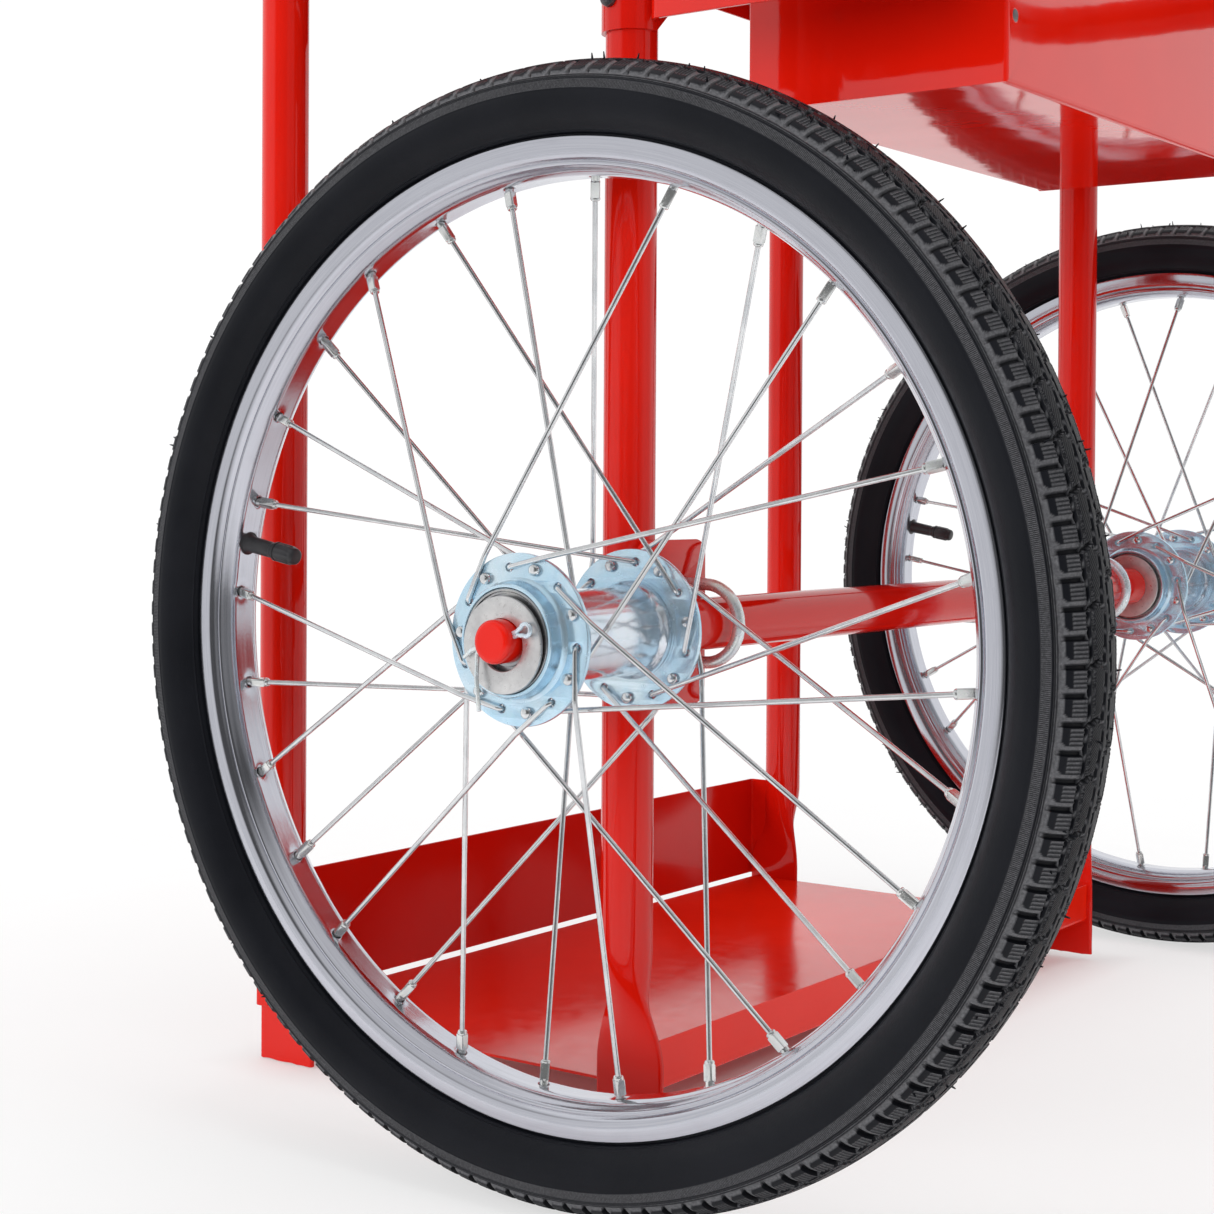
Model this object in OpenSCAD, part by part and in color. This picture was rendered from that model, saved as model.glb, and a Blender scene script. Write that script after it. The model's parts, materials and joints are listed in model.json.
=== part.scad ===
// Popcorn cart: round-tube frame, two wire-spoked wheels on a fixed axle,
// lower tray, storage bin, deck for a popcorn machine and a push handle.
// +Z is up and the floor is z = 0. The origin lies on the floor below the
// middle of the whole cart. The push handle is at the +X end, the standing
// feet at the -X end. Inside the modules X = 0 is the line of the wheel posts.
// Paired parts are drawn on the left, at -Y, and mirrored to the right.

/* [Frame] */
// Outside diameter of the round frame tube
post_d = 25.4; // [25:0.1:25.6]
// Wall thickness of the round frame tube
post_wall = 1.5; // [1:0.1:2.5]
// Distance between left and right post centres
post_pitch_y = 526.8; // [526:0.2:528]
// Distance between the wheel posts and the foot posts
post_pitch_x = 232; // [231:0.5:233]
// Clearance of the wheel posts' feet above the floor
wheel_post_gap = 3.5; // [2:0.5:8]

/* [Deck] */
// Height of the top face of the deck
deck_h = 700; // [690:1:760]
// Depth of the folded skirt of the deck
deck_skirt = 30; // [15:1:32]
// Overhang of the deck past the wheel posts
deck_front = 168; // [168:1:190]
// Half of the width of the deck
deck_half = 280; // [279:1:282]

/* [Lower tray] */
// Height of the underside of the lower tray
tray_z = 26; // [24:0.5:28]
// Sheet thickness of tray, panel and deck
sheet = 1.5; // [1:0.1:1.6]
// Height of the turned-up front lip of the tray
tray_lip = 25; // [15:1:28]
// Height of the rear panel above the tray
panel_h = 70.5; // [50:0.5:72]

/* [Storage bin] */
// Height of the bottom of the storage bin
bin_z = 511.5; // [505:0.5:520]
// Height of the top edge of the storage bin
bin_top = 611; // [600:1:620]
// Depth of the storage bin
bin_depth = 142; // [138:1:143]
// Half of the width of the storage bin
bin_half = 176; // [150:1:200]

/* [Wheels] */
// Outside diameter of the tyre
tyre_od = 506; // [504:1:508]
// Distance from the middle of the cart to the middle plane of each rim
wheel_y = 350; // [349:0.5:351]
// Number of spokes in each wheel
spoke_n = 28; // [28]
// Diameter of a spoke
spoke_d = 2.4; // [2:0.1:2.5]
// Radius of the circle of spoke holes in the hub flanges
hub_hole_r = 31.5; // [31:0.1:32]
// Radius of the hub flanges
flange_r = 37.5; // [37:0.1:38]

/* [Axle] */
// Diameter of the turned axle ends
stub_d = 19.05; // [18.9:0.05:19.1]
// Distance from the middle of the cart to each axle end
axle_end = 404; // [403:0.5:406]
// Diameter of the rod of the U-bolts
ubolt_d = 6; // [5:0.5:6]

/* [Hidden] */
$fn = 96;

red = [0.80, 0.09, 0.06];
zinc = [0.75, 0.84, 0.90];
alu = [0.80, 0.81, 0.83];
black = [0.10, 0.10, 0.11];
dark_steel = [0.35, 0.35, 0.37];

fit_gap = 0.05;                        // gap between parts that fit together
post_r = post_d/2;
clamp_r = post_r + fit_gap;            // inner face of whatever clamps a post
post_y = post_pitch_y/2;
post_top = deck_h - sheet;
nut_r = 5.77;                          // corner radius of nuts and bolt heads
nut_t = 5;
deck_back = -262;
handle_x = 350;                        // centre line of the cross tube
grip_r = 17;
mid_x = (deck_back + handle_x + grip_r)/2;  // middle of the whole cart

/* ---------- helpers ---------- */
function unit(v) = v/norm(v);
module at_mid() { translate([-mid_x, 0, 0]) children(); }
module mirrored() { mirror([0,1,0]) children(); }
module both() { children(); mirrored() children(); }
module along_y(h, r) { rotate([90,0,0]) cylinder(r = r, h = h, center = true); }
module along_x(h, r) { rotate([0,90,0]) cylinder(r = r, h = h, center = true); }
module hexagon(h) { cylinder(r = nut_r, h = h, center = true, $fn = 6); }
// turns local z to a unit direction, at a point
module aim(point, dir) {
  translate(point) rotate([0, acos(dir[2]), atan2(dir[1], dir[0])]) children();
}
module rod(start, end, r) {
  aim(start, unit(end - start)) cylinder(r = r, h = norm(end - start), $fn = 24);
}
module ring(z0, z1, r_in, r_out) {
  translate([0,0,z0]) difference() {
    cylinder(r = r_out, h = z1 - z0);
    translate([0,0,-1]) cylinder(r = r_in, h = z1 - z0 + 2);
  }
}
// rows are [z, radius, height]
module stack(rows) {
  for (row = rows) translate([0,0,row[0]]) cylinder(r = row[1], h = row[2]);
}

/* ---------- posts ---------- */
tray_x1 = 14;
tray_x0 = -251;
tray_y = 255;
foot_t = 3.2;                          // thickness of the pressed foot
foot_w = 36;                           // width of the foot beside the tray
foot_form = 52;                        // top of the fully pressed flat
foot_blend = 96;                       // start of the round tube
panel_x = -256;                        // inner face of the rear panel
panel_return = 10;                     // length of its folded sides

// Flat foot beside the tray; side is 1 for a wheel post, -1 for a foot post
module foot_flat(side, z, h) {
  edge_x = side > 0 ? tray_x1 : tray_x0;
  translate([min(edge_x + side*foot_t, edge_x - side*foot_w), -tray_y - foot_t, z])
    cube([foot_w + foot_t, foot_t, h]);
}
module foot_transition(side, x) {
  slice_h = 0.2;
  hull() {
    translate([x, -post_y, foot_blend - slice_h]) cylinder(r = post_r, h = slice_h, $fn = 32);
    foot_flat(side, foot_form, slice_h);
  }
}
module post(side, x, foot_z) {
  plug_h = 2;                          // solid length at the start of the round tube
  union() {
    translate([x, -post_y, foot_blend]) difference() {
      cylinder(r = post_r, h = post_top - foot_blend);
      translate([0,0,plug_h]) cylinder(r = post_r - post_wall, h = post_top);
    }
    foot_flat(side, foot_z, foot_form + 0.1 - foot_z);
    difference() {
      foot_transition(side, x);
      // room for the folded side of the rear panel
      if (side < 0) translate([-300, -300, foot_form])
        cube([300 + panel_x + panel_return + 0.5, 100, 60]);
    }
  }
}
module wheel_post() color(red) difference() {
  post(1, 0, wheel_post_gap);
  sleeve_screw_holes();
}
module foot_post() color(red) post(-1, -post_pitch_x, 0);

/* ---------- lower sheet metal ---------- */
module lower_tray() color(red) union() {
  translate([tray_x0, -tray_y, tray_z]) cube([tray_x1 - tray_x0, 2*tray_y, sheet]);
  translate([tray_x1 - sheet, -tray_y, tray_z]) cube([sheet, 2*tray_y, tray_lip]);
}
module rear_panel() color(red) {
  half = tray_y + foot_t + sheet;
  corner = [panel_x - sheet, -half, tray_z + 3];
  union() {
    translate(corner) cube([sheet, 2*half, panel_h]);
    both() translate(corner) cube([panel_return + sheet, sheet, panel_h]);
  }
}

/* ---------- axle ---------- */
bracket_t = 2.5;
axle_z = tyre_od/2;
axle_x = clamp_r + bracket_t + 0.15 + post_r;
ubolt_y = 238;                         // plane of the U-bolt, inboard of the wheel post
ubolt_r = 19;                          // radius of the U-bolt's centre line
ubolt_rod_r = ubolt_d/2;
ubolt_washer_t = 1.2;
stub_r = stub_d/2;
cotter_y = 399;
cotter_tilt = -20;

module axle_tube() color(red) translate([axle_x, 0, axle_z]) difference() {
  along_y(575, post_r);
  along_y(600, stub_r + 0.075);
}
module axle_stub() color(red) translate([axle_x, 0, axle_z]) difference() {
  inner_y = 230;
  chamfer = 1;
  chamfer_y = axle_end - chamfer;
  union() {
    translate([0, -(chamfer_y + inner_y)/2, 0]) along_y(chamfer_y - inner_y, stub_r);
    translate([0, -chamfer_y, 0]) rotate([90,0,0])
      cylinder(r1 = stub_r, r2 = stub_r - chamfer, h = chamfer);
  }
  translate([0, -cotter_y, 0]) rotate([0,cotter_tilt,0]) along_x(40, 1.9);
}
module axle_bracket() color(red) {
  y0 = -276;
  y1 = -219;
  half_h = 40.5;
  z0 = axle_z - half_h;
  z1 = axle_z + half_h;
  corner = 8;                          // corner radius
  lip_y = -249;                        // outboard end of the upper and lower lips
  lip_t = 2;
  lip_x = clamp_r - 5;
  lip_w = 5.5;                         // runs 0.5 into the plate
  union() {
    translate([clamp_r, 0, 0]) rotate([90,0,90]) linear_extrude(bracket_t) difference() {
      union() {
        translate([y0, z0 + corner]) square([y1 - y0, z1 - z0 - 2*corner]);
        translate([y0 + corner, z0]) square([y1 - y0 - 2*corner, z1 - z0]);
        for (y = [y0 + corner, y1 - corner], z = [z0 + corner, z1 - corner])
          translate([y, z]) circle(corner);
      }
      for (s = [-1, 1]) translate([-ubolt_y, axle_z + s*ubolt_r]) circle(ubolt_rod_r + 0.3);
    }
    // folded stiffening lips behind the plate
    for (z = [z0, z1 - lip_t])
      translate([lip_x, lip_y, z]) cube([lip_w, y1 - corner - lip_y, lip_t]);
    translate([lip_x, y1 - lip_t, z0 + corner]) cube([lip_w, lip_t, z1 - z0 - 2*corner]);
  }
}
// on both legs of the U-bolt
module at_legs(x) {
  for (s = [-1, 1]) translate([x, -ubolt_y, axle_z + s*ubolt_r]) children();
}
module u_bolt() color(zinc) union() {
  leg_x = 1;                           // free end of the legs
  translate([axle_x, -ubolt_y, axle_z]) rotate([90,0,0]) intersection() {
    rotate_extrude() translate([ubolt_r, 0]) circle(ubolt_rod_r, $fn = 32);
    translate([0, -40, -10]) cube([60, 80, 20]);
  }
  at_legs((axle_x + leg_x)/2) along_x(axle_x - leg_x, ubolt_rod_r);
}
module u_bolt_washer() color(zinc) at_legs(clamp_r - ubolt_washer_t/2) difference() {
  along_x(ubolt_washer_t, 6);
  along_x(3, ubolt_rod_r + fit_gap);
}
module u_bolt_nut() color(zinc)
  at_legs(clamp_r - ubolt_washer_t - 0.1 - nut_t/2) difference() {
    rotate([0,90,0]) hexagon(nut_t);
    along_x(8, ubolt_rod_r + fit_gap);
  }
module cotter_pin() color(zinc)
  translate([axle_x, -cotter_y, axle_z]) rotate([0,cotter_tilt,0]) union() {
    translate([1.5, 0, 0]) along_x(27, 1.5);
    // eye
    translate([17.6, 0, 0]) rotate([90,0,0]) rotate_extrude() translate([3, 0]) circle(1, $fn = 24);
    // spread ends
    rod([-11.6, 0, 0.2], [-19, -1.2, 2.2], 0.8);
    rod([-11.4, 0, 0], [-16.5, 0.8, -18], 0.85);
  }

/* ---------- bearings ---------- */
// Wheel parts lie in the wheel frame: local z = 0 is the middle plane of the rim
// and points outboard, local x is X, local y is up.
module wheel_left() { translate([axle_x, -wheel_y, axle_z]) rotate([90,0,0]) children(); }
module wheel_right() { mirrored() wheel_left() children(); }

bearing_z = [37.2, -54.7];             // middle of the outboard and inboard bearing
race_w = 8;
race_r = 16;                           // radius of the circle of balls
ball_r = 2.9;
cup_r = 22.6;                          // bore of the bearing cup

module ball_groove(z) { translate([race_r, z]) circle(ball_r + 0.1, $fn = 48); }
// z is the middle of the race; its narrower collar runs from collar_z0 to collar_z1
module inner_race(z, collar_z0, collar_z1) {
  bore_r = stub_r + fit_gap;
  rotate_extrude() difference() {
    union() {
      translate([bore_r, z - race_w/2]) square([14.5 - bore_r, race_w]);
      translate([bore_r, collar_z0]) square([13 - bore_r, collar_z1 - collar_z0]);
    }
    ball_groove(z);
  }
}
module bearing_inner() color(zinc) {
  inner_race(bearing_z[0], 41, 43.95);
  inner_race(bearing_z[1], -61.15, -58.5);
}
module outer_race(z) {
  inner_r = 17.5;
  rotate_extrude() difference() {
    translate([inner_r, z - race_w/2]) square([cup_r - fit_gap - inner_r, race_w]);
    ball_groove(z);
  }
}
module bearing_outer() color(zinc) { outer_race(bearing_z[0]); outer_race(bearing_z[1]); }
module bearing_balls() color(zinc) for (z = bearing_z, k = [0:11])
  rotate(k*30) translate([race_r, 0, z]) sphere(r = ball_r, $fn = 24);
module axle_washer() color(zinc) {
  ring(44, 46, stub_r + 0.1, 21);
  ring(-62.4, -61.2, stub_r + 0.1, 21);
}

/* ---------- spokes ---------- */
flange_out = 34.6;                     // outer face of the outboard hub flange
flange_in = -52;                       // outer face of the inboard hub flange
flange_t = 2.5;
well_r = 202;                          // hub side of the rim well
stagger = 2;                           // offset of the rim holes from the middle plane
first_spoke_a = 9.2;
lace_a = 3*720/spoke_n;                // three-cross lacing
spoke_r = spoke_d/2;
spoke_flat = 23;                       // length of an outside spoke along its flange
head_t = 1.1;

function polar(r, a, z) = [r*cos(a), r*sin(a), z];
// Spokes alternate between the inboard and the outboard flange
function side(i) = i % 2 == 1 ? 1 : -1;
// True where the spoke runs over the outer face of its flange
function outside(i) = i % 4 == 1 || i % 4 == 2;
function rim_a(i) = first_spoke_a + i*360/spoke_n;
function hub_a(i) = rim_a(i) + (outside(i) ? lace_a : -lace_a);
// Axial place, as distances beyond the flange's outer and inner faces
function off_outer(i, d) = (side(i) > 0 ? flange_out : flange_in) + side(i)*d;
function off_inner(i, d) = off_outer(i, -flange_t - d);
function start_z(i) = let(d = spoke_r + 0.1) outside(i) ? off_outer(i, d) : off_inner(i, d);
function head_z(i) = outside(i) ? off_inner(i, 1.2) : off_outer(i, 1.2);
function hub_p(i) = polar(hub_hole_r, hub_a(i), start_z(i));
function rim_p(i) = polar(well_r, rim_a(i), side(i)*stagger);
// Outside spokes bend over the edge of the flange
function bend_p(i) = let(d = rim_p(i) - hub_p(i))
  hub_p(i) + (outside(i) ? spoke_flat*unit([d[0], d[1], 0]) : [0, 0, 0]);
function spoke_dir(i) = unit(rim_p(i) - bend_p(i));

module spoke(i) {
  hub = hub_p(i);
  bend = bend_p(i);
  dir = spoke_dir(i);
  head = polar(hub_hole_r, hub_a(i), head_z(i));
  union() {
    rod(hub, head, spoke_r - 0.1);
    if (outside(i)) {
      flat_dir = unit(bend - hub);
      rod(hub - flat_dir*spoke_r, bend + flat_dir*0.3, spoke_r - 0.05);
    }
    rod(bend - dir*(outside(i) ? 0.5 : spoke_r), rim_p(i) + dir*0.8, spoke_r);
    translate([head[0], head[1], min(head[2], head[2] + sign(head[2] - hub[2])*head_t)])
      cylinder(r = 2.3, h = head_t, $fn = 24);
  }
}
module spokes() color(zinc) for (i = [0:spoke_n - 1]) spoke(i);

// Half section of a nipple: [radius, distance along the spoke from the rim well]
nipple_section = [[spoke_r + fit_gap, -10], [1.8, -10], [2, -9.4], [2, 2.4], [3, 3.4],
  [3, 4.6], [2, 5.4], [spoke_r + fit_gap, 5.4]];
module nipple(i) aim(rim_p(i), spoke_dir(i)) rotate_extrude($fn = 32) polygon(nipple_section);
module nipples() color(zinc) for (i = [0:spoke_n - 1]) nipple(i);

/* ---------- rim, tyre and hub ---------- */
// Outboard halves of the sections: [radius, z]
// Rim: hub side outward from the well, then tyre side back to the middle plane
rim_half = [[well_r, 0], [202, 5.2], [203, 8], [204.4, 10.6], [206.8, 13.2], [209.2, 14.4],
  [218.5, 15.2], [218.5, 13.9], [217.4, 13.4], [210, 12.9], [207.8, 12.2], [206, 9.8],
  [204.8, 7.6], [203.8, 5], [203.8, 0]];
// Tyre outside, from bead to crown
tyre_outer = [[208.3, 9.2], [208.3, 11.5], [210.3, 12.7], [217.6, 13.2], [219, 13.3],
  [219.3, 15.6], [222, 19], [226, 22.6], [231, 24.8], [236, 25.2], [241, 24.2],
  [245.5, 21.8], [248.6, 18.2], [250.9, 13], [252.4, 7], [253, 0]];
// Tyre inside, from crown to bead
tyre_inner = [[249, 0], [248, 7], [245.5, 13], [242, 18], [237, 21.5], [231, 21.8],
  [225, 19], [219.5, 12.1], [216, 9.8]];
// Hub shell: whole section
shell_section = [[18.7, -50.5], [22.5, -50.5], [22.5, -46.5], [20.5, -43], [20.5, 25.5],
  [22.5, 29], [22.5, 33], [18.7, 33]];
valve_a = 169.5;                       // angle of the valve

// Points first to last, reversed and mirrored in the middle plane
function flip(points, first, last) =
  [for (i = [last:-1:first]) [points[i][0], -points[i][1]]];
// The tyre's crown follows the tyre diameter; its beads stay on the rim
function fit_crown(points) =
  [for (p = points) [p[0] > 240 ? p[0] + tyre_od/2 - 253 : p[0], p[1]]];

module rim() color(alu) difference() {
  rotate_extrude($fn = 180) polygon(concat(rim_half, flip(rim_half, 1, len(rim_half) - 2)));
  for (i = [0:spoke_n - 1]) rod(rim_p(i) - spoke_dir(i)*6, rim_p(i) + spoke_dir(i)*6, 2.15);
  rod(polar(190, valve_a, 0), polar(212, valve_a, 0), 4.2);
}
module tyre() color(black) rotate_extrude($fn = 180) {
  outer = fit_crown(tyre_outer);
  inner = fit_crown(tyre_inner);
  polygon(concat(outer, flip(outer, 0, len(outer) - 2), flip(inner, 1, len(inner) - 1), inner));
}
module inner_tube() color(black) rotate_extrude($fn = 120) difference() {
  translate([231, 0]) circle(15, $fn = 64);
  translate([231, 0]) circle(13.8, $fn = 64);
}
module hub_shell() color(zinc) rotate_extrude() polygon(shell_section);
// Flange with its bearing cup; s is 1 for the outboard flange, -1 for the inboard one
module hub_flange(z, s) {
  hole_n = spoke_n/2;
  difference() {
    rotate_extrude() polygon([[cup_r, z - s*flange_t], [flange_r, z - s*flange_t],
      [flange_r, z], [27.5, z], [24.9, z + s*2.2], [24.2, z + s*5], [24.2, z + s*8.9],
      [cup_r, z + s*8.9]]);
    for (k = [0:hole_n - 1]) rotate(hub_a(s > 0 ? 1 : 0) + k*360/hole_n)
      translate([hub_hole_r, 0, z - s*flange_t/2])
        cylinder(r = 1.6, h = 8, center = true, $fn = 24);
  }
}
module hub_flanges() color(zinc) { hub_flange(flange_out, 1); hub_flange(flange_in, -1); }
// local z runs from the axle out through the valve
module along_valve() { rotate(valve_a) rotate([0,90,0]) children(); }
module valve_stem() color(black) along_valve() union() {
  stack([[176, 3, 8], [183, 4, 30], [212, 8, 3]]);
}
module valve_cap() color(black) along_valve() difference() {
  union() stack([[168.5, 4.4, 4], [172, 4.9, 10.8]]);
  translate([0,0,175.5]) cylinder(r = 3.1, h = 10);
}

/* ---------- sleeves and aprons ---------- */
sleeve_z = 537;
sleeve_h = 63;
sleeve_t = 2;
screw_r = 2.5;
screw_hole_r = screw_r + 0.1;
screw_head_r = 4.2;
// The side screw runs along y, the face screw along x
side_screw_x = -3;
side_screw_z = 552;
face_screw_y = -257;
face_screw_z = 575;

apron_x = clamp_r + sleeve_t;          // face where the apron meets the sleeve
apron_y = 272;                         // outer face
apron_z = 541;
apron_t = 2;
apron_end = deck_front - 3;
apron_bend = 6;                        // outside radius of the bend at the sleeve

handle_z = 640;
handle_bolt_x = [60, 140];
handle_bolt_r = 3;
handle_hole_r = handle_bolt_r + 0.1;

module sleeve_screw_holes() {
  translate([side_screw_x, -post_y - 10, side_screw_z]) along_y(24, screw_hole_r);
  translate([10, face_screw_y, face_screw_z]) along_x(24, screw_hole_r);
}
// Half ring round the outboard side of the post, with straight sides inboard
module post_sleeve() color(red) difference() {
  translate([0, -post_y, sleeve_z]) union() {
    difference() {
      ring(0, sleeve_h, clamp_r, apron_x);
      translate([-30, 0, -1]) cube([60, 30, sleeve_h + 2]);
    }
    for (x = [clamp_r, -apron_x]) translate([x, 0, 0]) cube([sleeve_t, 13, sleeve_h]);
    translate([-apron_x - 3.5, 11, 0]) cube([4, 2, sleeve_h]);
  }
  sleeve_screw_holes();
}
module sleeve_screw() color(dark_steel) {
  union() {
    translate([side_screw_x, -post_y - 7.5, side_screw_z]) along_y(15, screw_r);
    translate([side_screw_x, -post_y - 16.6, side_screw_z]) along_y(3.6, screw_head_r);
  }
  union() {
    translate([12.4, face_screw_y, face_screw_z]) along_x(9, screw_r);
    translate([apron_x + apron_t + 1.6, face_screw_y, face_screw_z]) along_x(3.1, screw_head_r);
  }
}
module apron() color(red) {
  bend_x = apron_x + apron_bend;
  bend_y = -apron_y + apron_bend;
  tab_h = 109;                         // height of the tab on the sleeve
  fold_y = -apron_y + 1.5;
  fold_w = 15.5;
  difference() {
    union() {
      translate([apron_x, bend_y, apron_z]) cube([apron_t, 15, tab_h]);
      intersection() {
        translate([bend_x, bend_y, apron_z]) ring(0, tab_h, apron_bend - apron_t, apron_bend);
        translate([apron_x - 1, -apron_y - 1, apron_z - 1])
          cube([apron_bend + 1, apron_bend + 1, tab_h + 2]);
      }
      translate([bend_x, -apron_y, apron_z])
        cube([apron_end - bend_x, apron_t, post_top - apron_z]);
      translate([apron_end - apron_t, fold_y, apron_z])
        cube([apron_t, fold_w, post_top - apron_z]);
      translate([bend_x, fold_y, post_top - apron_t])
        cube([apron_end - bend_x - 1, fold_w, apron_t]);
    }
    translate([15, face_screw_y, face_screw_z]) along_x(12, screw_hole_r);
    at_handle_bolts(-apron_y + apron_t/2) along_y(8, handle_hole_r);
  }
}

/* ---------- storage bin ---------- */
bin_x0 = 12;
bin_x1 = bin_x0 + bin_depth;
bin_t = 1.2;
bin_h = bin_top - bin_z;
rail_x = [21, 128];                    // rear and front rail
rail_w = 20;
rail_t = 2;
rail_half = apron_y - apron_t;
bin_screw_x = [for (x = rail_x) x + rail_w/2];
bin_screw_y = -bin_half - 8;

module bin_screw_hole(x) {
  translate([x, bin_screw_y, bin_top]) cylinder(r = 2.1, h = 10, center = true);
}
module storage_bin() color(red) union() {
  half = bin_half - bin_t;
  translate([bin_x0, -half, bin_z]) cube([bin_depth, 2*half, bin_t]);
  for (x = [bin_x0, bin_x1 - bin_t]) translate([x, -half, bin_z]) cube([bin_t, 2*half, bin_h]);
}
module bin_end() color(red) difference() {
  flange = 16;                         // width of the flanges over the bin's long walls
  lip = 15;                            // width of the lip below the rails
  union() {
    translate([bin_x0 - bin_t, -bin_half, bin_z]) cube([bin_depth + 2*bin_t, bin_t, bin_h]);
    for (x = [bin_x0 - bin_t, bin_x1])
      translate([x, 0, 0]) rotate([90,0,90]) linear_extrude(bin_t)
        polygon([[-bin_half, bin_z], [-bin_half + flange, bin_z + flange],
          [-bin_half + flange, bin_top], [-bin_half, bin_top]]);
    translate([bin_x0, -bin_half - lip, bin_top - bin_t]) cube([bin_depth, lip + bin_t, bin_t]);
  }
  translate([bin_x1, -bin_half + 8.5, bin_z + 32.5]) along_x(8, 3.1);
  for (x = bin_screw_x) bin_screw_hole(x);
}
module bin_rail(x) color(red) difference() {
  translate([x, -rail_half, bin_top]) union() {
    cube([rail_w, 2*rail_half, rail_t]);
    cube([rail_t, 2*rail_half, rail_w]);
  }
  both() bin_screw_hole(x + rail_w/2);
}
module bin_screw() color(dark_steel) for (x = bin_screw_x)
  translate([x, bin_screw_y, bin_top]) union() stack([[-4, 2, 9], [-bin_t - 2.4, 4, 2.4]]);

/* ---------- deck ---------- */
module deck() color(red) difference() {
  depth = deck_front - deck_back;
  translate([deck_back, -deck_half, deck_h - deck_skirt]) cube([depth, 2*deck_half, deck_skirt]);
  translate([deck_back + sheet, -deck_half + sheet, deck_h - deck_skirt - 1])
    cube([depth - 2*sheet, 2*deck_half - 2*sheet, deck_skirt + 1 - sheet]);
}
module deck_sockets() color(red) both() for (x = [0, -post_pitch_x])
  translate([x, -post_y, post_top - 40]) ring(0, 40, clamp_r, 15);

/* ---------- push handle ---------- */
handle_y = apron_y + 0.2 + post_r;
handle_r = 50;                         // bend radius of the centre line
handle_end = 40;                       // x of the plugged ends

module at_handle_bolts(y) { for (x = handle_bolt_x) translate([x, y, handle_z]) children(); }
module bend(r) intersection() {
  rotate_extrude() translate([handle_r, 0]) circle(r, $fn = 48);
  translate([0, -100, -20]) cube([100, 100, 40]);
}
// Solid of radius r along the handle's centre line, extended past the ends
module handle_solid(r, extra) translate([0, 0, handle_z]) {
  start_x = handle_end - extra;
  bend_x = handle_x - handle_r;
  both() {
    translate([(start_x + bend_x)/2, -handle_y, 0]) along_x(bend_x - start_x, r);
    translate([bend_x, -handle_y + handle_r, 0]) bend(r);
  }
  translate([handle_x, 0, 0]) along_y(2*(handle_y - handle_r), r);
}
module push_handle() color(red) difference() {
  handle_solid(post_r, 0);
  handle_solid(post_r - post_wall, 1);
  both() at_handle_bolts(-handle_y) along_y(40, handle_hole_r);
}
module handle_grip() color(black) translate([handle_x, 0, handle_z]) difference() {
  along_y(300, grip_r);
  along_y(310, clamp_r);
}
module handle_bolt() color(zinc) at_handle_bolts(0) union() {
  head_h = 4;
  translate([0, -282, 0]) along_y(35, handle_bolt_r);
  translate([0, -handle_y - post_r - head_h/2, 0]) rotate([90,0,0]) hexagon(head_h);
}
module handle_nut() color(zinc)
  at_handle_bolts(-apron_y + apron_t + 0.1 + nut_t/2) difference() {
    rotate([90,0,0]) hexagon(nut_t);
    along_y(8, handle_bolt_r + fit_gap);
  }
module handle_plug() color(black) translate([handle_end, -handle_y, handle_z]) union() {
  translate([-1.5, 0, 0]) along_x(3, post_r);
  translate([5, 0, 0]) along_x(10.2, post_r - post_wall - fit_gap);
}

at_mid() wheel_post();  // wheel_post_left
at_mid() mirrored() wheel_post();  // wheel_post_right
at_mid() foot_post();  // foot_post_left
at_mid() mirrored() foot_post();  // foot_post_right
at_mid() lower_tray();
at_mid() rear_panel();
at_mid() axle_tube();
at_mid() axle_stub();  // axle_stub_left
at_mid() mirrored() axle_stub();  // axle_stub_right
at_mid() axle_bracket();  // axle_bracket_left
at_mid() mirrored() axle_bracket();  // axle_bracket_right
at_mid() both() u_bolt();  // u_bolts
at_mid() both() u_bolt_washer();  // u_bolt_washers
at_mid() both() u_bolt_nut();  // u_bolt_nuts
at_mid() both() wheel_left() bearing_inner();  // bearing_inner_races
at_mid() both() wheel_left() axle_washer();  // axle_washers
at_mid() both() cotter_pin();  // cotter_pins
at_mid() post_sleeve();  // post_sleeve_left
at_mid() mirrored() post_sleeve();  // post_sleeve_right
at_mid() both() sleeve_screw();  // sleeve_screws
at_mid() apron();  // apron_left
at_mid() mirrored() apron();  // apron_right
at_mid() storage_bin();
at_mid() bin_end();  // bin_end_left
at_mid() mirrored() bin_end();  // bin_end_right
at_mid() bin_rail(rail_x[0]);  // bin_rail_rear
at_mid() bin_rail(rail_x[1]);  // bin_rail_front
at_mid() both() bin_screw();  // bin_screws
at_mid() deck();
at_mid() deck_sockets();
at_mid() push_handle();
at_mid() handle_grip();
at_mid() both() handle_bolt();  // handle_bolts
at_mid() both() handle_nut();  // handle_nuts
at_mid() both() handle_plug();  // handle_plugs
at_mid() wheel_left() tyre();  // tyre_left
at_mid() wheel_left() inner_tube();  // inner_tube_left
at_mid() wheel_left() rim();  // rim_left
at_mid() wheel_left() spokes();  // spokes_left
at_mid() wheel_left() nipples();  // nipples_left
at_mid() wheel_left() hub_shell();  // hub_shell_left
at_mid() wheel_left() hub_flanges();  // hub_flanges_left
at_mid() wheel_left() bearing_outer();  // bearing_outer_races_left
at_mid() wheel_left() bearing_balls();  // bearing_balls_left
at_mid() wheel_left() valve_stem();  // valve_stem_left
at_mid() wheel_left() valve_cap();  // valve_cap_left
at_mid() wheel_right() tyre();  // tyre_right
at_mid() wheel_right() inner_tube();  // inner_tube_right
at_mid() wheel_right() rim();  // rim_right
at_mid() wheel_right() spokes();  // spokes_right
at_mid() wheel_right() nipples();  // nipples_right
at_mid() wheel_right() hub_shell();  // hub_shell_right
at_mid() wheel_right() hub_flanges();  // hub_flanges_right
at_mid() wheel_right() bearing_outer();  // bearing_outer_races_right
at_mid() wheel_right() bearing_balls();  // bearing_balls_right
at_mid() wheel_right() valve_stem();  // valve_stem_right
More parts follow.
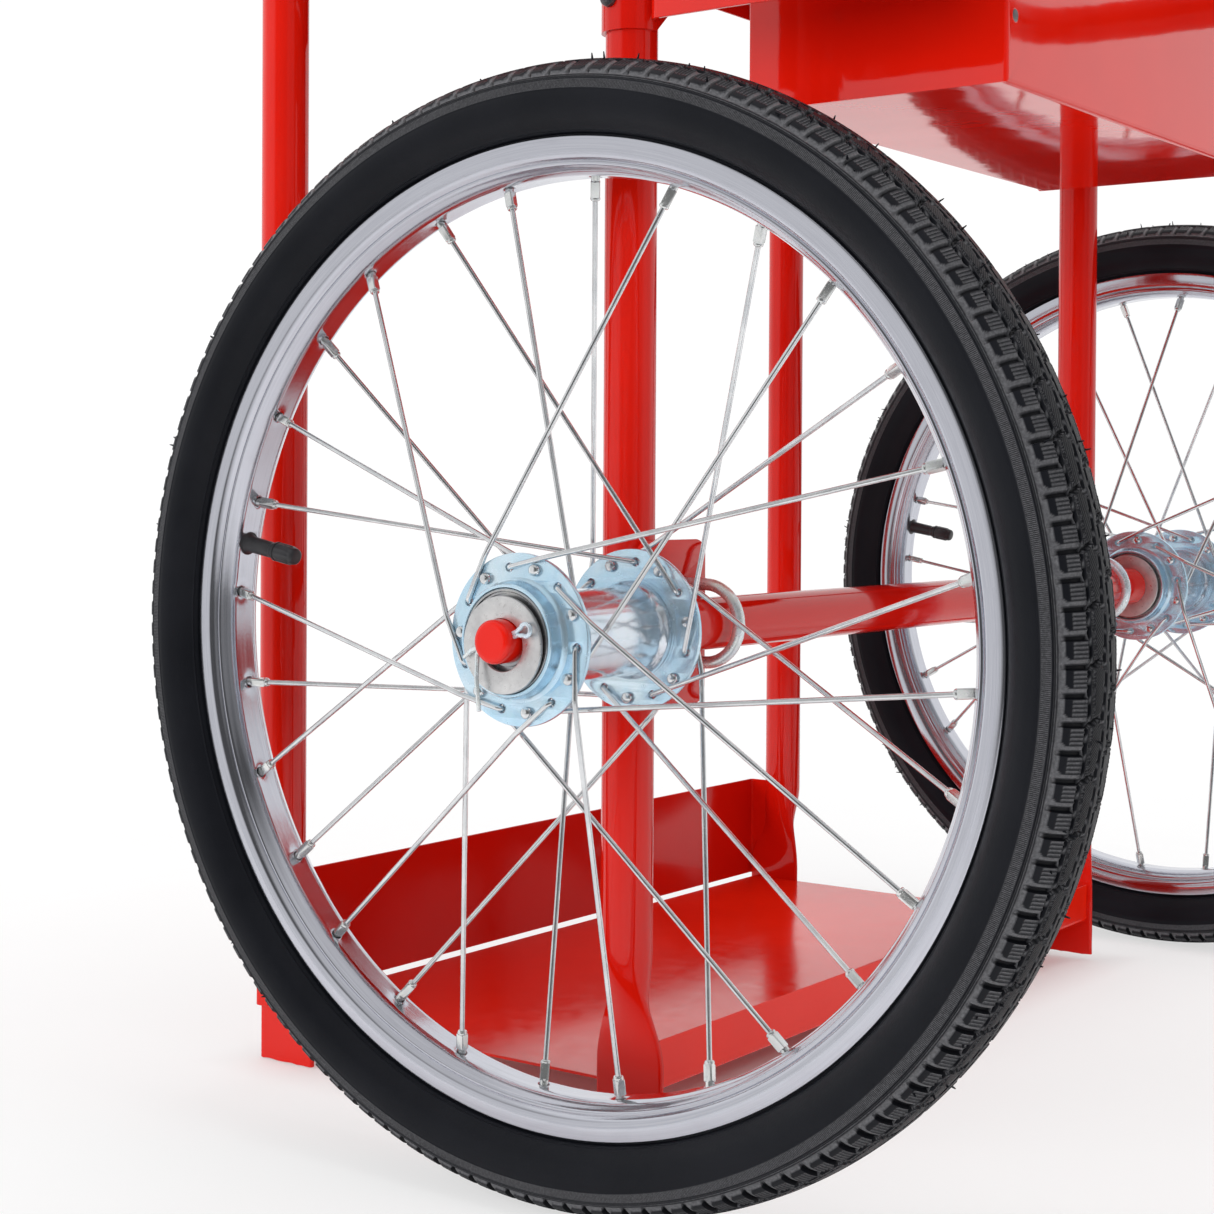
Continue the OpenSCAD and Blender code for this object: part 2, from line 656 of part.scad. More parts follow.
at_mid() wheel_right() valve_cap();  // valve_cap_right
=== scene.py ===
"""A two-wheeled cart: spoked wheels on a cross axle, posts, tray, rear panel, deck, bin and handle.

Lengths are in millimetres. Parts are drawn with x = 0 on the line of the wheel posts, y = 0
midway between the wheels and z = 0 on the floor; Build.make moves them to the cart's frame.
The push handle is at +X. Left is -Y, as seen from the handle looking along -X. Parts that come
in pairs are drawn for the left side and mirrored for the right.
"""
import json
import math
from math import pi

import bmesh
import bpy
import numpy as np
from mathutils import Matrix, Vector

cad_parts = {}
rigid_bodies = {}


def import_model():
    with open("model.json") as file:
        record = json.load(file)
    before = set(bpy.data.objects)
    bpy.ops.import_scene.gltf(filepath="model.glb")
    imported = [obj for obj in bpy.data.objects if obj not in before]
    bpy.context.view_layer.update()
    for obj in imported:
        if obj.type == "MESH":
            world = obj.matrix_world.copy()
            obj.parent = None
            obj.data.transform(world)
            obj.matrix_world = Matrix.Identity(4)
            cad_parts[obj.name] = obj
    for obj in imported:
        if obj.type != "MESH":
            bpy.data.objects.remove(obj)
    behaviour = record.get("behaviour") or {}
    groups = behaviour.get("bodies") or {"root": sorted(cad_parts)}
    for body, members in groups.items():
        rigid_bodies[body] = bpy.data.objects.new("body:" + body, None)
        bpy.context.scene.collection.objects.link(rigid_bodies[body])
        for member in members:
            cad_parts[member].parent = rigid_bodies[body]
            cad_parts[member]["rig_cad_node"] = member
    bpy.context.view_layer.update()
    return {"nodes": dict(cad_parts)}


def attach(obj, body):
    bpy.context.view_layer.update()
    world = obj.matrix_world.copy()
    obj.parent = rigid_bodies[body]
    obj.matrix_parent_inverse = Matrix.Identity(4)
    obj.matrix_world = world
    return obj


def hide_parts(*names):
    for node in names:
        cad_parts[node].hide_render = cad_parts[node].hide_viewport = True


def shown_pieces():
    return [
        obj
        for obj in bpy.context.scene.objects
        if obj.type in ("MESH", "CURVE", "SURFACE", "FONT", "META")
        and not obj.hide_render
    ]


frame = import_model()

MM = 0.001
SIDES = ("left", "right")

ORIGIN_X = 52.5     # frame origin, from the line of the wheel posts
AXLE_X = 28.1
WHEEL_Y = 350.0     # distance of each wheel's centre from y = 0
AXLE_Z = 253.0
TYRE_R = AXLE_Z     # the tyres stand on the floor
POST_Y = 263.4
REAR_POST_X = -232.0
TUBE_R = 12.7       # posts, axle and handle share one tube size
TUBE_WALL = 1.5
FACE_X = TUBE_R + 0.05      # just clear of the +X face of the wheel posts


# ------------------------------------------------------------------ materials
class Nodes:
    """A cleared node tree. Any value may be a number, a vector or colour, or an output socket."""

    def __init__(self, owner):
        owner.use_nodes = True
        self.tree = owner.node_tree
        self.tree.nodes.clear()

    def link(self, source, socket):
        self.tree.links.new(source, socket)

    def put(self, socket, value):
        if hasattr(value, "is_linked"):
            self.link(value, socket)
        elif socket.type == "RGBA":
            socket.default_value = (*value, 1)
        else:
            socket.default_value = value

    def node(self, kind, inputs=None, **settings):
        node = self.tree.nodes.new("ShaderNode" + kind)
        for key, value in settings.items():
            setattr(node, key, value)
        for key, value in (inputs or {}).items():
            self.put(node.inputs[key], value)
        return node

    def math(self, op, a, b=0.0):
        return self.node("Math", {0: a, 1: b}, operation=op).outputs[0]

    def times(self, a, b):
        return self.math("MULTIPLY", a, b)

    def range(self, value, over=(0.3, 0.7), to=(0.0, 1.0), kind="LINEAR"):
        inputs = {"From Min": over[0], "From Max": over[1], "To Min": to[0], "To Max": to[1],
                  "Value": value}
        return self.node("MapRange", inputs, interpolation_type=kind).outputs[0]

    def mix_shader(self, fac, a, b):
        return self.node("MixShader", {0: fac, 1: a, 2: b}).outputs[0]


class Material(Nodes):
    SOCKETS = {"base": "Base Color", "metallic": "Metallic", "rough": "Roughness",
               "spec": "Specular IOR Level", "coat": "Coat Weight",
               "coat_rough": "Coat Roughness", "coat_ior": "Coat IOR"}

    def __init__(self, name):
        self.mat = bpy.data.materials.new(name)
        super().__init__(self.mat)
        self.out = self.node("OutputMaterial")
        self.bsdf = self.node("BsdfPrincipled")
        self.link(self.bsdf.outputs[0], self.out.inputs["Surface"])
        self.coords = self.node("TexCoord")

    def set(self, **values):
        for key, value in values.items():
            self.put(self.bsdf.inputs[self.SOCKETS[key]], value)

    def mapped(self, scale=(1, 1, 1), coord="Object"):
        source = self.coords.outputs[coord]
        return self.node("Mapping", {"Scale": scale, "Vector": source}).outputs[0]

    def noise(self, co, scale, detail=4, rough=0.55, distortion=0.0):
        inputs = {"Scale": scale, "Detail": detail, "Roughness": rough,
                  "Distortion": distortion, "Vector": co}
        return self.node("TexNoise", inputs).outputs["Fac"]

    def cloud(self, co, over=(0.3, 0.7), to=(0.0, 1.0), **noise):
        """Noise with the band `over` stretched to the band `to`."""
        return self.range(self.noise(co, **noise), over, to)

    def mix(self, fac, a, b, mode="MIX"):
        node = self.node("Mix", {0: fac, 6: a, 7: b}, data_type="RGBA", blend_type=mode)
        return node.outputs[2]

    def attr(self, name, out="Fac"):
        return self.node("Attribute", attribute_name=name).outputs[out]

    def bump(self, height, strength, distance, under=None):
        """Bumps the surface, on top of the bump `under` if given."""
        node = self.node("Bump", {"Strength": strength, "Distance": distance, "Height": height})
        if under is not None:
            self.link(under, node.inputs["Normal"])
        self.link(node.outputs[0], self.bsdf.inputs["Normal"])
        return node.outputs[0]


def scaled(color, factor):
    return tuple(c * factor for c in color)


def red_paint(name, base=(0.60, 0.0070, 0.0022), wave=1.0, coat_ior=1.5,
              coat_rough=(0.03, 0.07)):
    """Glossy powder coat; wave scales the orange-peel bumps."""
    m = Material(name)
    co = m.mapped()
    fine = m.noise(co, scale=120)
    light = (base[0] * 1.06, base[1] * 1.3, base[2] * 1.3)
    patches = m.cloud(co, scale=5, detail=3, over=(0.35, 0.65))
    color = m.mix(patches, scaled(base, 0.90), light)
    specks = m.cloud(co, scale=900, detail=2, over=(0.74, 0.80))
    color = m.mix(m.times(specks, 0.06), color, (0.72, 0.06, 0.04))
    m.set(base=color, rough=m.range(fine, to=(0.34, 0.42)), coat=1.0,
          coat_rough=m.range(fine, to=coat_rough), coat_ior=coat_ior, spec=0.0)
    peel = m.bump(m.noise(co, scale=150, detail=2, rough=0.4),
                  strength=0.012 * wave, distance=0.0008)
    swell = m.bump(m.noise(co, scale=16, detail=2, rough=0.4),
                   strength=0.05 * wave, distance=0.004, under=peel)
    m.link(swell, m.bsdf.inputs["Coat Normal"])
    return m.mat


def plated_metal(name, cool=(0.66, 0.76, 0.84), warm=(0.80, 0.80, 0.74), rough=(0.20, 0.34),
                 scale=1.0, metal=0.72):
    """Metal that drifts between two tints; scale sets how fine its texture is."""
    m = Material(name)
    co = m.mapped()
    tint = m.cloud(co, scale=26 * scale, rough=0.6, distortion=0.6, over=(0.40, 0.66))
    color = m.mix(tint, cool, warm)
    stain = m.cloud(co, scale=160 * scale, detail=6, over=(0.52, 0.72))
    color = m.mix(m.times(stain, 0.14), color, scaled(cool, 0.66))
    cells = m.node("TexVoronoi", {"Scale": 420 * scale, "Vector": co}).outputs["Color"]
    color = m.mix(0.04, color, cells, "SOFT_LIGHT")
    m.set(base=color, metallic=metal, rough=m.cloud(co, scale=240 * scale, detail=5, to=rough))
    m.bump(m.noise(co, scale=700 * scale), strength=0.10, distance=0.0004)
    return m.mat


def spoke_wire():
    m = Material("galvanised_spoke_wire")
    co = m.mapped()
    color = m.mix(m.cloud(co, scale=60, detail=5, over=(0.35, 0.65)),
                  (0.64, 0.66, 0.68), (0.82, 0.84, 0.85))
    dirt = m.cloud(co, scale=420, detail=6, over=(0.58, 0.74))
    color = m.mix(m.times(dirt, 0.35), color, (0.46, 0.47, 0.47))
    m.set(base=color, metallic=0.97, rough=m.cloud(co, scale=900, to=(0.10, 0.22)))
    m.bump(m.noise(co, scale=1500, detail=3), strength=0.08, distance=0.0003)
    return m.mat


def rim_aluminium():
    """Streaks run round the rim, along U; the mesh marks its holes, and these are painted near
    black as the shade inside them.
    """
    m = Material("polished_rim_aluminium")
    streak = m.noise(m.mapped((0.012, 1.6, 1), "UV"), scale=1.0, detail=6, rough=0.65)
    color = m.mix(m.range(streak), (0.52, 0.53, 0.59), (0.62, 0.63, 0.69))
    dull = m.cloud(m.mapped((0.05, 0.25, 1), "UV"), scale=1.0, over=(0.5, 0.75))
    color = m.mix(m.times(dull, 0.30), color, (0.46, 0.465, 0.52))
    # painted shade: the marked holes in the well are coloured near black
    color = m.mix(m.attr("hole"), color, (0.03, 0.03, 0.035))
    m.set(base=color, metallic=1.0, rough=m.range(streak, over=(0.25, 0.75), to=(0.09, 0.17)))
    lines = m.bump(m.noise(m.mapped((0.02, 3.0, 1), "UV"), scale=1.0, rough=0.5),
                   strength=0.035, distance=0.0004)
    m.bump(m.noise(m.mapped(coord="UV"), scale=0.5, detail=3),
           strength=0.02, distance=0.0004, under=lines)
    return m.mat


def tyre_rubber():
    m = Material("tyre_rubber_satin")
    co = m.mapped()
    color = m.mix(m.cloud(co, scale=22, detail=5, over=(0.35, 0.65)),
                  (0.0050, 0.0056, 0.0078), (0.0074, 0.0080, 0.0108))
    # painted shade: the deeper parts of the tread and the cuts of the serrated band are darker
    color = m.mix(m.times(m.attr("depth"), 0.55), color, (0.003, 0.003, 0.0035))
    # painted highlights on the groove walls and on the serrated band's teeth, with pale dust on the
    # gap floors: lighter colour and more specular
    worn = m.attr("worn")
    grain = m.noise(co, scale=900)
    color = m.mix(m.times(worn, m.range(grain, to=(0.45, 1.0))), color, (0.14, 0.14, 0.15))
    # fine herringbone sipes of the crown, from the tread coordinates kept on the mesh
    sipe_pitch = 1.45
    place = m.node("SeparateXYZ", {0: m.attr("tread", "Vector")}).outputs
    slant = m.math("ADD", place[0], m.math("ABSOLUTE", place[1]))
    wave = m.math("FRACT", m.times(slant, 1 / sipe_pitch))
    ridge = m.range(m.math("ABSOLUTE", m.math("SUBTRACT", wave, 0.5)), over=(0.12, 0.26))
    sipes = m.times(m.math("SUBTRACT", 1.0, ridge), m.attr("chevron"))
    color = m.mix(m.times(sipes, 0.6), color, (0.006, 0.006, 0.007))
    m.set(base=color, rough=m.cloud(co, scale=300, detail=5, to=(0.34, 0.44)),
          spec=m.math("ADD", 0.13, m.times(worn, 0.30)))
    height = m.math("SUBTRACT", m.times(grain, 0.25), sipes)
    cuts = m.bump(height, strength=0.55, distance=0.0006)
    m.bump(m.noise(co, scale=60, detail=3), strength=0.10, distance=0.001, under=cuts)
    return m.mat


def dark_rubber(name, color=(0.018, 0.018, 0.02), rough=(0.5, 0.7), scale=1.0, bump=0.3):
    m = Material(name)
    co = m.mapped()
    patches = m.cloud(co, scale=90 * scale, detail=5, over=(0.35, 0.65))
    m.set(base=m.mix(patches, scaled(color, 0.75), scaled(color, 1.5)),
          rough=m.cloud(co, scale=500 * scale, to=rough), spec=0.45)
    m.bump(m.noise(co, scale=1100 * scale), strength=bump, distance=0.0004)
    return m.mat


def washer_steel():
    m = Material("plain_steel_washer")
    co = m.mapped()
    color = m.mix(m.cloud(co, scale=130, detail=5, over=(0.35, 0.65)),
                  (0.58, 0.58, 0.585), (0.72, 0.72, 0.72))
    marks = m.cloud(co, scale=600, detail=5, over=(0.6, 0.75))
    color = m.mix(m.times(marks, 0.5), color, (0.24, 0.23, 0.22))
    m.set(base=color, metallic=0.85, rough=m.cloud(co, scale=420, detail=5, to=(0.26, 0.40)))
    m.bump(m.noise(co, scale=900), strength=0.22, distance=0.0004)
    return m.mat


RED = red_paint("red_powder_coat", coat_ior=1.43)
# The sheet and tray copies have a brighter base red than the posts: painted light, standing in for
# lamp light that the deck and aprons block.
RED_SHEET_LIT = red_paint("red_powder_coat_sheet_lit", base=(0.70, 0.0090, 0.0026), wave=1.2,
                      coat_ior=1.58)
RED_TRAY_LIT = red_paint("red_powder_coat_tray_lit", base=(0.78, 0.0135, 0.0030), wave=1.7,
                     coat_ior=1.40, coat_rough=(0.11, 0.19))
RED_PANEL = red_paint("red_powder_coat_panel", wave=1.4, coat_ior=1.38, coat_rough=(0.09, 0.15))
ZINC = plated_metal("bright_zinc")
HUB = plated_metal("blue_zinc_hub", cool=(0.50, 0.72, 0.88), warm=(0.70, 0.84, 0.92),
                   rough=(0.18, 0.28), metal=0.80)
BARREL = plated_metal("hub_barrel_zinc", cool=(0.66, 0.74, 0.82), warm=(0.84, 0.88, 0.92),
                      rough=(0.10, 0.20), metal=0.90)
SPOKE = spoke_wire()
NIPPLE = plated_metal("nipple_steel", cool=(0.66, 0.68, 0.68), warm=(0.82, 0.83, 0.82),
                      rough=(0.12, 0.22), scale=2, metal=0.90)
RIM = rim_aluminium()
TYRE = tyre_rubber()
TUBE = dark_rubber("inner_tube_rubber")
GRIP = dark_rubber("grip_foam", color=(0.024, 0.024, 0.026), rough=(0.65, 0.85), scale=1.3,
                   bump=0.6)
PLASTIC = dark_rubber("black_moulded_plastic", color=(0.016, 0.016, 0.018),
                      rough=(0.30, 0.45), scale=0.8, bump=0.15)
SCREW = plated_metal("dark_screw_steel", cool=(0.10, 0.10, 0.11), warm=(0.17, 0.16, 0.16),
                     rough=(0.34, 0.5), scale=2, metal=0.9)
RACE = plated_metal("ground_bearing_steel", cool=(0.40, 0.41, 0.43), warm=(0.52, 0.51, 0.50),
                    rough=(0.18, 0.30), scale=2, metal=0.9)
WASHER = washer_steel()


# ------------------------------------------------------------------ mesh tools
class Build:
    """Collects patches of vertices and faces in millimetres and makes one object."""

    def __init__(self):
        self.verts, self.faces, self.uv, self.mat_ids, self.data = [], [], [], [], []
        self.n = 0

    def add(self, verts, faces, mat=0, uv=None, **data):
        """data holds per-vertex attributes; patches without one get zeros."""
        verts = np.asarray(verts, float).reshape(-1, 3)
        self.verts.append(verts)
        self.faces.extend(tuple(int(k) + self.n for k in face) for face in faces)
        self.mat_ids.extend([mat] * len(faces))
        uv = np.zeros((len(verts), 2)) if uv is None else uv
        self.uv.append(np.asarray(uv, float).reshape(-1, 2))
        self.data.append((len(verts), data))
        self.n += len(verts)
        return self

    def grid(self, p, close_u=True, close_v=False, uv=None, flip=False, **data):
        """p is [nu, nv, 3]; uv is a pair of arrays that broadcast to [nu, nv]."""
        nu, nv = p.shape[:2]
        iu = np.arange(nu if close_u else nu - 1)
        iv = np.arange(nv if close_v else nv - 1)
        a, b = (k.ravel() for k in np.meshgrid(iu, iv, indexing="ij"))
        a1, b1 = (a + 1) % nu, (b + 1) % nv
        quads = np.stack([a * nv + b, a1 * nv + b, a1 * nv + b1, a * nv + b1], 1)
        if flip:
            quads = quads[:, ::-1]
        if uv is not None:
            uv = np.stack(np.broadcast_arrays(*uv), -1)
        data = {k: d.reshape(nu * nv, *d.shape[2:]) for k, d in data.items()}
        return self.add(p, quads.tolist(), uv=uv, **data)

    def cap(self, size, indices):
        """One face over vertices of the last patch, which has `size` vertices."""
        self.faces.append(tuple(self.n - size + k for k in indices))
        self.mat_ids.append(0)

    def make(self, name, mats, replaces, slot, side="left", smooth=35, body="cart", bevel=0.0):
        verts = np.concatenate(self.verts) - (ORIGIN_X, 0, 0)
        faces = self.faces
        if side == "right":
            verts = verts * (1, -1, 1)
            faces = [face[::-1] for face in faces]
        me = bpy.data.meshes.new(name)
        me.from_pydata((verts * MM).tolist(), [], faces)
        for mat in mats if isinstance(mats, list) else [mats]:
            me.materials.append(mat)
        if any(self.mat_ids):
            me.polygons.foreach_set("material_index", np.array(self.mat_ids, np.int32))
        uv = np.concatenate(self.uv)
        if np.ptp(uv) > 0:
            layer = me.uv_layers.new(name="UVMap")
            index = np.zeros(len(me.loops), np.int32)
            me.loops.foreach_get("vertex_index", index)
            layer.data.foreach_set("uv", uv[index].astype(np.float32).ravel())
        shapes = {k: d.shape[1:] for _, data in self.data for k, d in data.items()}
        for key, shape in shapes.items():
            values = np.concatenate([data.get(key, np.zeros((n, *shape)))
                                     for n, data in self.data]).astype(np.float32)
            kind, field = ("FLOAT_VECTOR", "vector") if shape else ("FLOAT", "value")
            me.attributes.new(key, kind, "POINT").data.foreach_set(field, values.ravel())
        me.validate()
        me.shade_smooth()
        if smooth:
            me.set_sharp_from_angle(angle=math.radians(smooth))
        ob = bpy.data.objects.new(name, me)
        bpy.context.scene.collection.objects.link(ob)
        if bevel:
            mod = ob.modifiers.new("bevel", "BEVEL")
            mod.width, mod.segments, mod.limit_method = bevel * MM, 2, "ANGLE"
            mod.angle_limit = math.radians(40)
            mod.harden_normals = True
            mod.miter_outer = "MITER_ARC"
        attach(ob, body)
        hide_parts(replaces)
        return ob


def unit(v):
    return v / np.linalg.norm(v)


def run_length(points):
    """Distance along a polyline at each of its points."""
    steps = np.linalg.norm(np.diff(points, axis=0), axis=1)
    return np.concatenate([[0], np.cumsum(steps)])


def full_turn(n):
    return np.linspace(0, 2 * pi, n, endpoint=False)


def smooth_step(a, b, x):
    t = np.clip((x - a) / (b - a), 0, 1)
    return t * t * (3 - 2 * t)


def arc_path(points, radii, step=6.0):
    """Rounds the inner corners of a 2-D or 3-D polyline, with a point every `step` degrees."""
    points = [np.asarray(p, float) for p in points]
    out = [points[0]]
    for i in range(1, len(points) - 1):
        a, b, c = points[i - 1], points[i], points[i + 1]
        u, w = unit(a - b), unit(c - b)
        angle = math.acos(float(np.clip(u @ w, -1, 1)))
        r = radii[i - 1] if hasattr(radii, "__len__") else radii
        if angle > pi - 0.01 or r <= 0:
            out.append(b)
            continue
        back = r / math.tan(angle / 2)
        centre = b + unit(u + w) * (r / math.sin(angle / 2))
        start, end = b + u * back - centre, b + w * back - centre
        turn = pi - angle
        n = max(2, int(math.degrees(turn) / step))
        for k in range(n + 1):
            t = k / n
            arm = start * math.sin((1 - t) * turn) + end * math.sin(t * turn)
            out.append(centre + arm / math.sin(turn))
    out.append(points[-1])
    keep = [out[0]]
    for p in out[1:]:
        if np.linalg.norm(p - keep[-1]) > 1e-4:
            keep.append(p)
    return np.array(keep)


def round_loop(corners, radius, step):
    """Closed 2-D loop with its corners rounded."""
    q = [np.array(p, float) for p in corners]
    out = []
    for i, corner in enumerate(q):
        after = q[(i + 1) % len(q)]
        out.extend(arc_path([(q[i - 1] + corner) / 2, corner, (corner + after) / 2],
                            radius, step)[1:-1])
    return np.array(out)


def frames(path):
    """Two unit normals at each point of a path, without twist."""
    t = np.gradient(path, axis=0)
    t /= np.linalg.norm(t, axis=1)[:, None]
    n = np.zeros_like(t)
    ref = np.array([0, 0, 1.0]) if abs(t[0][2]) < 0.9 else np.array([1.0, 0, 0])
    n[0] = unit(np.cross(np.cross(t[0], ref), t[0]))
    for i in range(1, len(path)):
        n[i] = unit(n[i - 1] - t[i] * (n[i - 1] @ t[i]))
    return n, np.cross(t, n)


def sweep(part, path, radius, n, cap=True, dome=0.0):
    """A tube with n sides along path. radius is a number or one per point; dome rounds the ends."""
    path = np.asarray(path, float)
    radius = np.broadcast_to(np.asarray(radius, float), len(path))
    if dome:
        turn = np.linspace(0, pi / 2 * 0.96, 5)[1:]
        rise, shrink = np.sin(turn)[:, None] * dome, np.cos(turn)
        head = path[0] + unit(path[0] - path[1]) * rise[::-1]
        tail = path[-1] + unit(path[-1] - path[-2]) * rise
        path = np.concatenate([head, path, tail])
        radius = np.concatenate([radius[0] * shrink[::-1], radius, radius[-1] * shrink])
    n1, n2 = frames(path)
    a = full_turn(n)
    p = path[:, None] + radius[:, None, None] * (
        np.cos(a)[:, None] * n1[:, None] + np.sin(a)[:, None] * n2[:, None])
    part.grid(p, close_u=False, close_v=True,
              uv=(run_length(path)[:, None], a[None] * radius.mean()))
    if cap:
        size = len(path) * n
        part.cap(size, range(n))
        part.cap(size, reversed(range(size - n, size)))
    return part


def cross_axes(axis, ref=None):
    """The axis as a unit vector, and two unit vectors square to it."""
    axis = unit(np.asarray(axis, float))
    if ref is None:
        ref = (0, 0, 1.0) if abs(axis[2]) < 0.9 else (1.0, 0, 0)
    u = unit(np.cross(axis, ref))
    return axis, u, np.cross(axis, u)


def rings(origin, axis, rows, angles):
    """Points [angle, row, 3]; rows are (distance along axis, radius or a radius per angle)."""
    axis, u, w = cross_axes(axis)
    out = np.cos(angles)[:, None] * u + np.sin(angles)[:, None] * w
    return np.stack([np.asarray(origin) + axis * dist + np.reshape(radius, (-1, 1)) * out
                     for dist, radius in rows], 1)


def lathe(part, origin, axis, prof, n):
    """Turned shape: prof of (distance along axis, radius)."""
    prof, a = np.asarray(prof, float), full_turn(n)
    return part.grid(rings(origin, axis, prof, a),
                     uv=(a[:, None] * prof[:, 1].mean(), run_length(prof)[None]))


def polar(r, angles, z):
    """Points [angle, row, 3] about the z axis, from radii and heights per row or per point."""
    x, y = r * np.cos(angles)[:, None], r * np.sin(angles)[:, None]
    return np.stack([x, y, np.broadcast_to(z, x.shape)], 2)


def wheel_map(p):
    """Left wheel's own frame (x, y up, z outboard from its centre) to the cart."""
    p = np.asarray(p, float)
    return np.stack([AXLE_X + p[..., 0], -WHEEL_Y - p[..., 2], AXLE_Z + p[..., 1]], -1)


def revolve(part, prof, n):
    """Closed ring about the wheel axis; prof is a loop of (radius, wheel z)."""
    prof, a = np.asarray(prof, float), full_turn(n)
    return part.grid(wheel_map(polar(prof[None, :, 0], a, prof[None, :, 1])), close_v=True,
                     uv=(a[:, None] * prof[:, 0].mean(), run_length(prof)[None]))


def sheet(part, path, radii, t, low, high, across=False, lower=None, support=0.5):
    """A bent sheet: a 2-D centre line with rounded bends, drawn out from low to high.

    The line is (x, y) drawn out along z, or with across (x, z) drawn out along y.
    lower(a, b) may lift the low edge."""
    line = arc_path(path, radii, 7.5)
    # extra points beside each bend keep the shading of the flats flat
    pts = [line[0]]
    for i in range(1, len(line)):
        d = line[i] - line[i - 1]
        length = np.linalg.norm(d)
        if length > 4:
            if i > 1:
                pts.append(line[i - 1] + d / length * support)
            if i < len(line) - 1:
                pts.append(line[i] - d / length * support)
        pts.append(line[i])
    line = np.array(pts)
    d = np.diff(line, axis=0)
    d /= np.linalg.norm(d, axis=1)[:, None]
    flat = np.stack([-d[:, 1], d[:, 0]], 1)
    normal = np.zeros_like(line)
    normal[0], normal[-1] = flat[0], flat[-1]
    mid = flat[:-1] + flat[1:]
    mid /= np.linalg.norm(mid, axis=1)[:, None]
    normal[1:-1] = mid / np.clip(np.sum(mid * flat[:-1], 1), 0.5, 1)[:, None]
    n = len(line)
    bottom = np.full(n, float(low)) if lower is None else np.array([lower(*q) for q in line])
    top = np.full(n, float(high))
    verts = np.concatenate([np.column_stack([line + normal * half, z])
                            for half in (t / 2, -t / 2) for z in (bottom, top)])
    if across:
        verts = verts[:, [0, 2, 1]]
    faces = []
    for i in range(n - 1):
        a0, a1, b0, b1 = i, n + i, 2 * n + i, 3 * n + i
        faces += [(a0, a0 + 1, a1 + 1, a1), (b0 + 1, b0, b1, b1 + 1),
                  (a0 + 1, a0, b0, b0 + 1), (a1, a1 + 1, b1 + 1, b1)]
    faces += [(0, n, 3 * n, 2 * n), (n - 1, 3 * n - 1, 4 * n - 1, 2 * n - 1)]
    # make the faces point outward
    p0, p1, p2 = (verts[k] for k in faces[0][:3])
    if np.cross(p1 - p0, p2 - p1) @ (p0 - verts[2 * n]) < 0:
        faces = [face[::-1] for face in faces]
    return part.add(verts, faces)


def box(part, lo, hi):
    lo, hi = np.minimum(lo, hi), np.maximum(lo, hi)
    verts = [(x, y, z) for x in (lo[0], hi[0]) for y in (lo[1], hi[1]) for z in (lo[2], hi[2])]
    faces = [(0, 1, 3, 2), (4, 6, 7, 5), (0, 4, 5, 1), (2, 3, 7, 6), (0, 2, 6, 4), (1, 5, 7, 3)]
    return part.add(verts, faces)


def plate(part, outline, holes, t, bevel, place, mat=0):
    """A flat plate with holes and rounded edges; place(a, b, h) has h from -t/2 to t/2."""
    cu = bpy.data.curves.new("plate", "CURVE")
    cu.dimensions, cu.fill_mode = "2D", "BOTH"
    cu.extrude, cu.offset = t / 2 - bevel, -bevel
    cu.bevel_depth, cu.bevel_resolution = bevel, 1
    for loop in [outline] + list(holes):
        spline = cu.splines.new("POLY")
        spline.points.add(len(loop) - 1)
        co = np.array([(x, y, 0, 1) for x, y in loop], np.float32)
        spline.points.foreach_set("co", co.ravel())
        spline.use_cyclic_u = True
    ob = bpy.data.objects.new("plate", cu)
    bpy.context.scene.collection.objects.link(ob)
    bpy.context.view_layer.update()
    me = ob.evaluated_get(bpy.context.evaluated_depsgraph_get()).to_mesh()
    verts = np.array([x.co[:] for x in me.vertices])
    faces = [tuple(p.vertices) for p in me.polygons]
    ob.to_mesh_clear()
    bpy.data.objects.remove(ob)
    bpy.data.curves.remove(cu)
    # weld the vertices that coincide
    seen, merged, first = {}, [], []
    for k, p in enumerate(np.round(verts, 4)):
        j = seen.setdefault(tuple(p), len(seen))
        if j == len(first):
            first.append(k)
        merged.append(j)
    faces = [tuple(dict.fromkeys(merged[k] for k in face)) for face in faces]
    faces = [face for face in faces if len(face) > 2]
    axes = np.array([place(1, 0, 0), place(0, 1, 0), place(0, 0, 1)]) - np.array(place(0, 0, 0))
    if np.linalg.det(axes) < 0:
        faces = [face[::-1] for face in faces]
    return part.add([place(*p) for p in verts[first]], faces, mat)


def circle(cx, cy, r, n):
    return [(cx + r * math.cos(a), cy + r * math.sin(a)) for a in full_turn(n)]


def round_rect(x0, y0, x1, y1, r, n=8):
    out = []
    for cx, cy, start in ((x1 - r, y1 - r, 0), (x0 + r, y1 - r, 90),
                          (x0 + r, y0 + r, 180), (x1 - r, y0 + r, 270)):
        for k in range(n + 1):
            a = math.radians(start + 90 * k / n)
            out.append((cx + r * math.cos(a), cy + r * math.sin(a)))
    return out


HEX_FLATS = 10      # width across flats of every nut and bolt head
NUT_BORE = 3.05


def hexagon(part, p, axis, h, bore=0.0):
    """A chamfered nut of height h starting at p, or a bolt head where bore is zero."""
    a = full_turn(48)
    hexr = (HEX_FLATS / 2) / np.cos((a + pi / 6) % (pi / 3) - pi / 6)
    face = HEX_FLATS * 0.47
    chamfer = np.minimum(hexr, HEX_FLATS * 0.53)
    rows = [(0.0, face), (0.28, chamfer), (0.62, hexr), (h - 0.62, hexr), (h - 0.28, chamfer),
            (h, face)]
    if bore:
        rows = ([(0.3, bore), (0.0, bore + 0.4)] + rows
                + [(h, bore + 0.4), (h - 0.3, bore), (0.3, bore)])
    else:
        rows = [(0.0, 0.01)] + rows + [(h + 0.05, 0.01)]
    # every row must have one radius per angle
    return part.grid(rings(p, axis, rows, a))


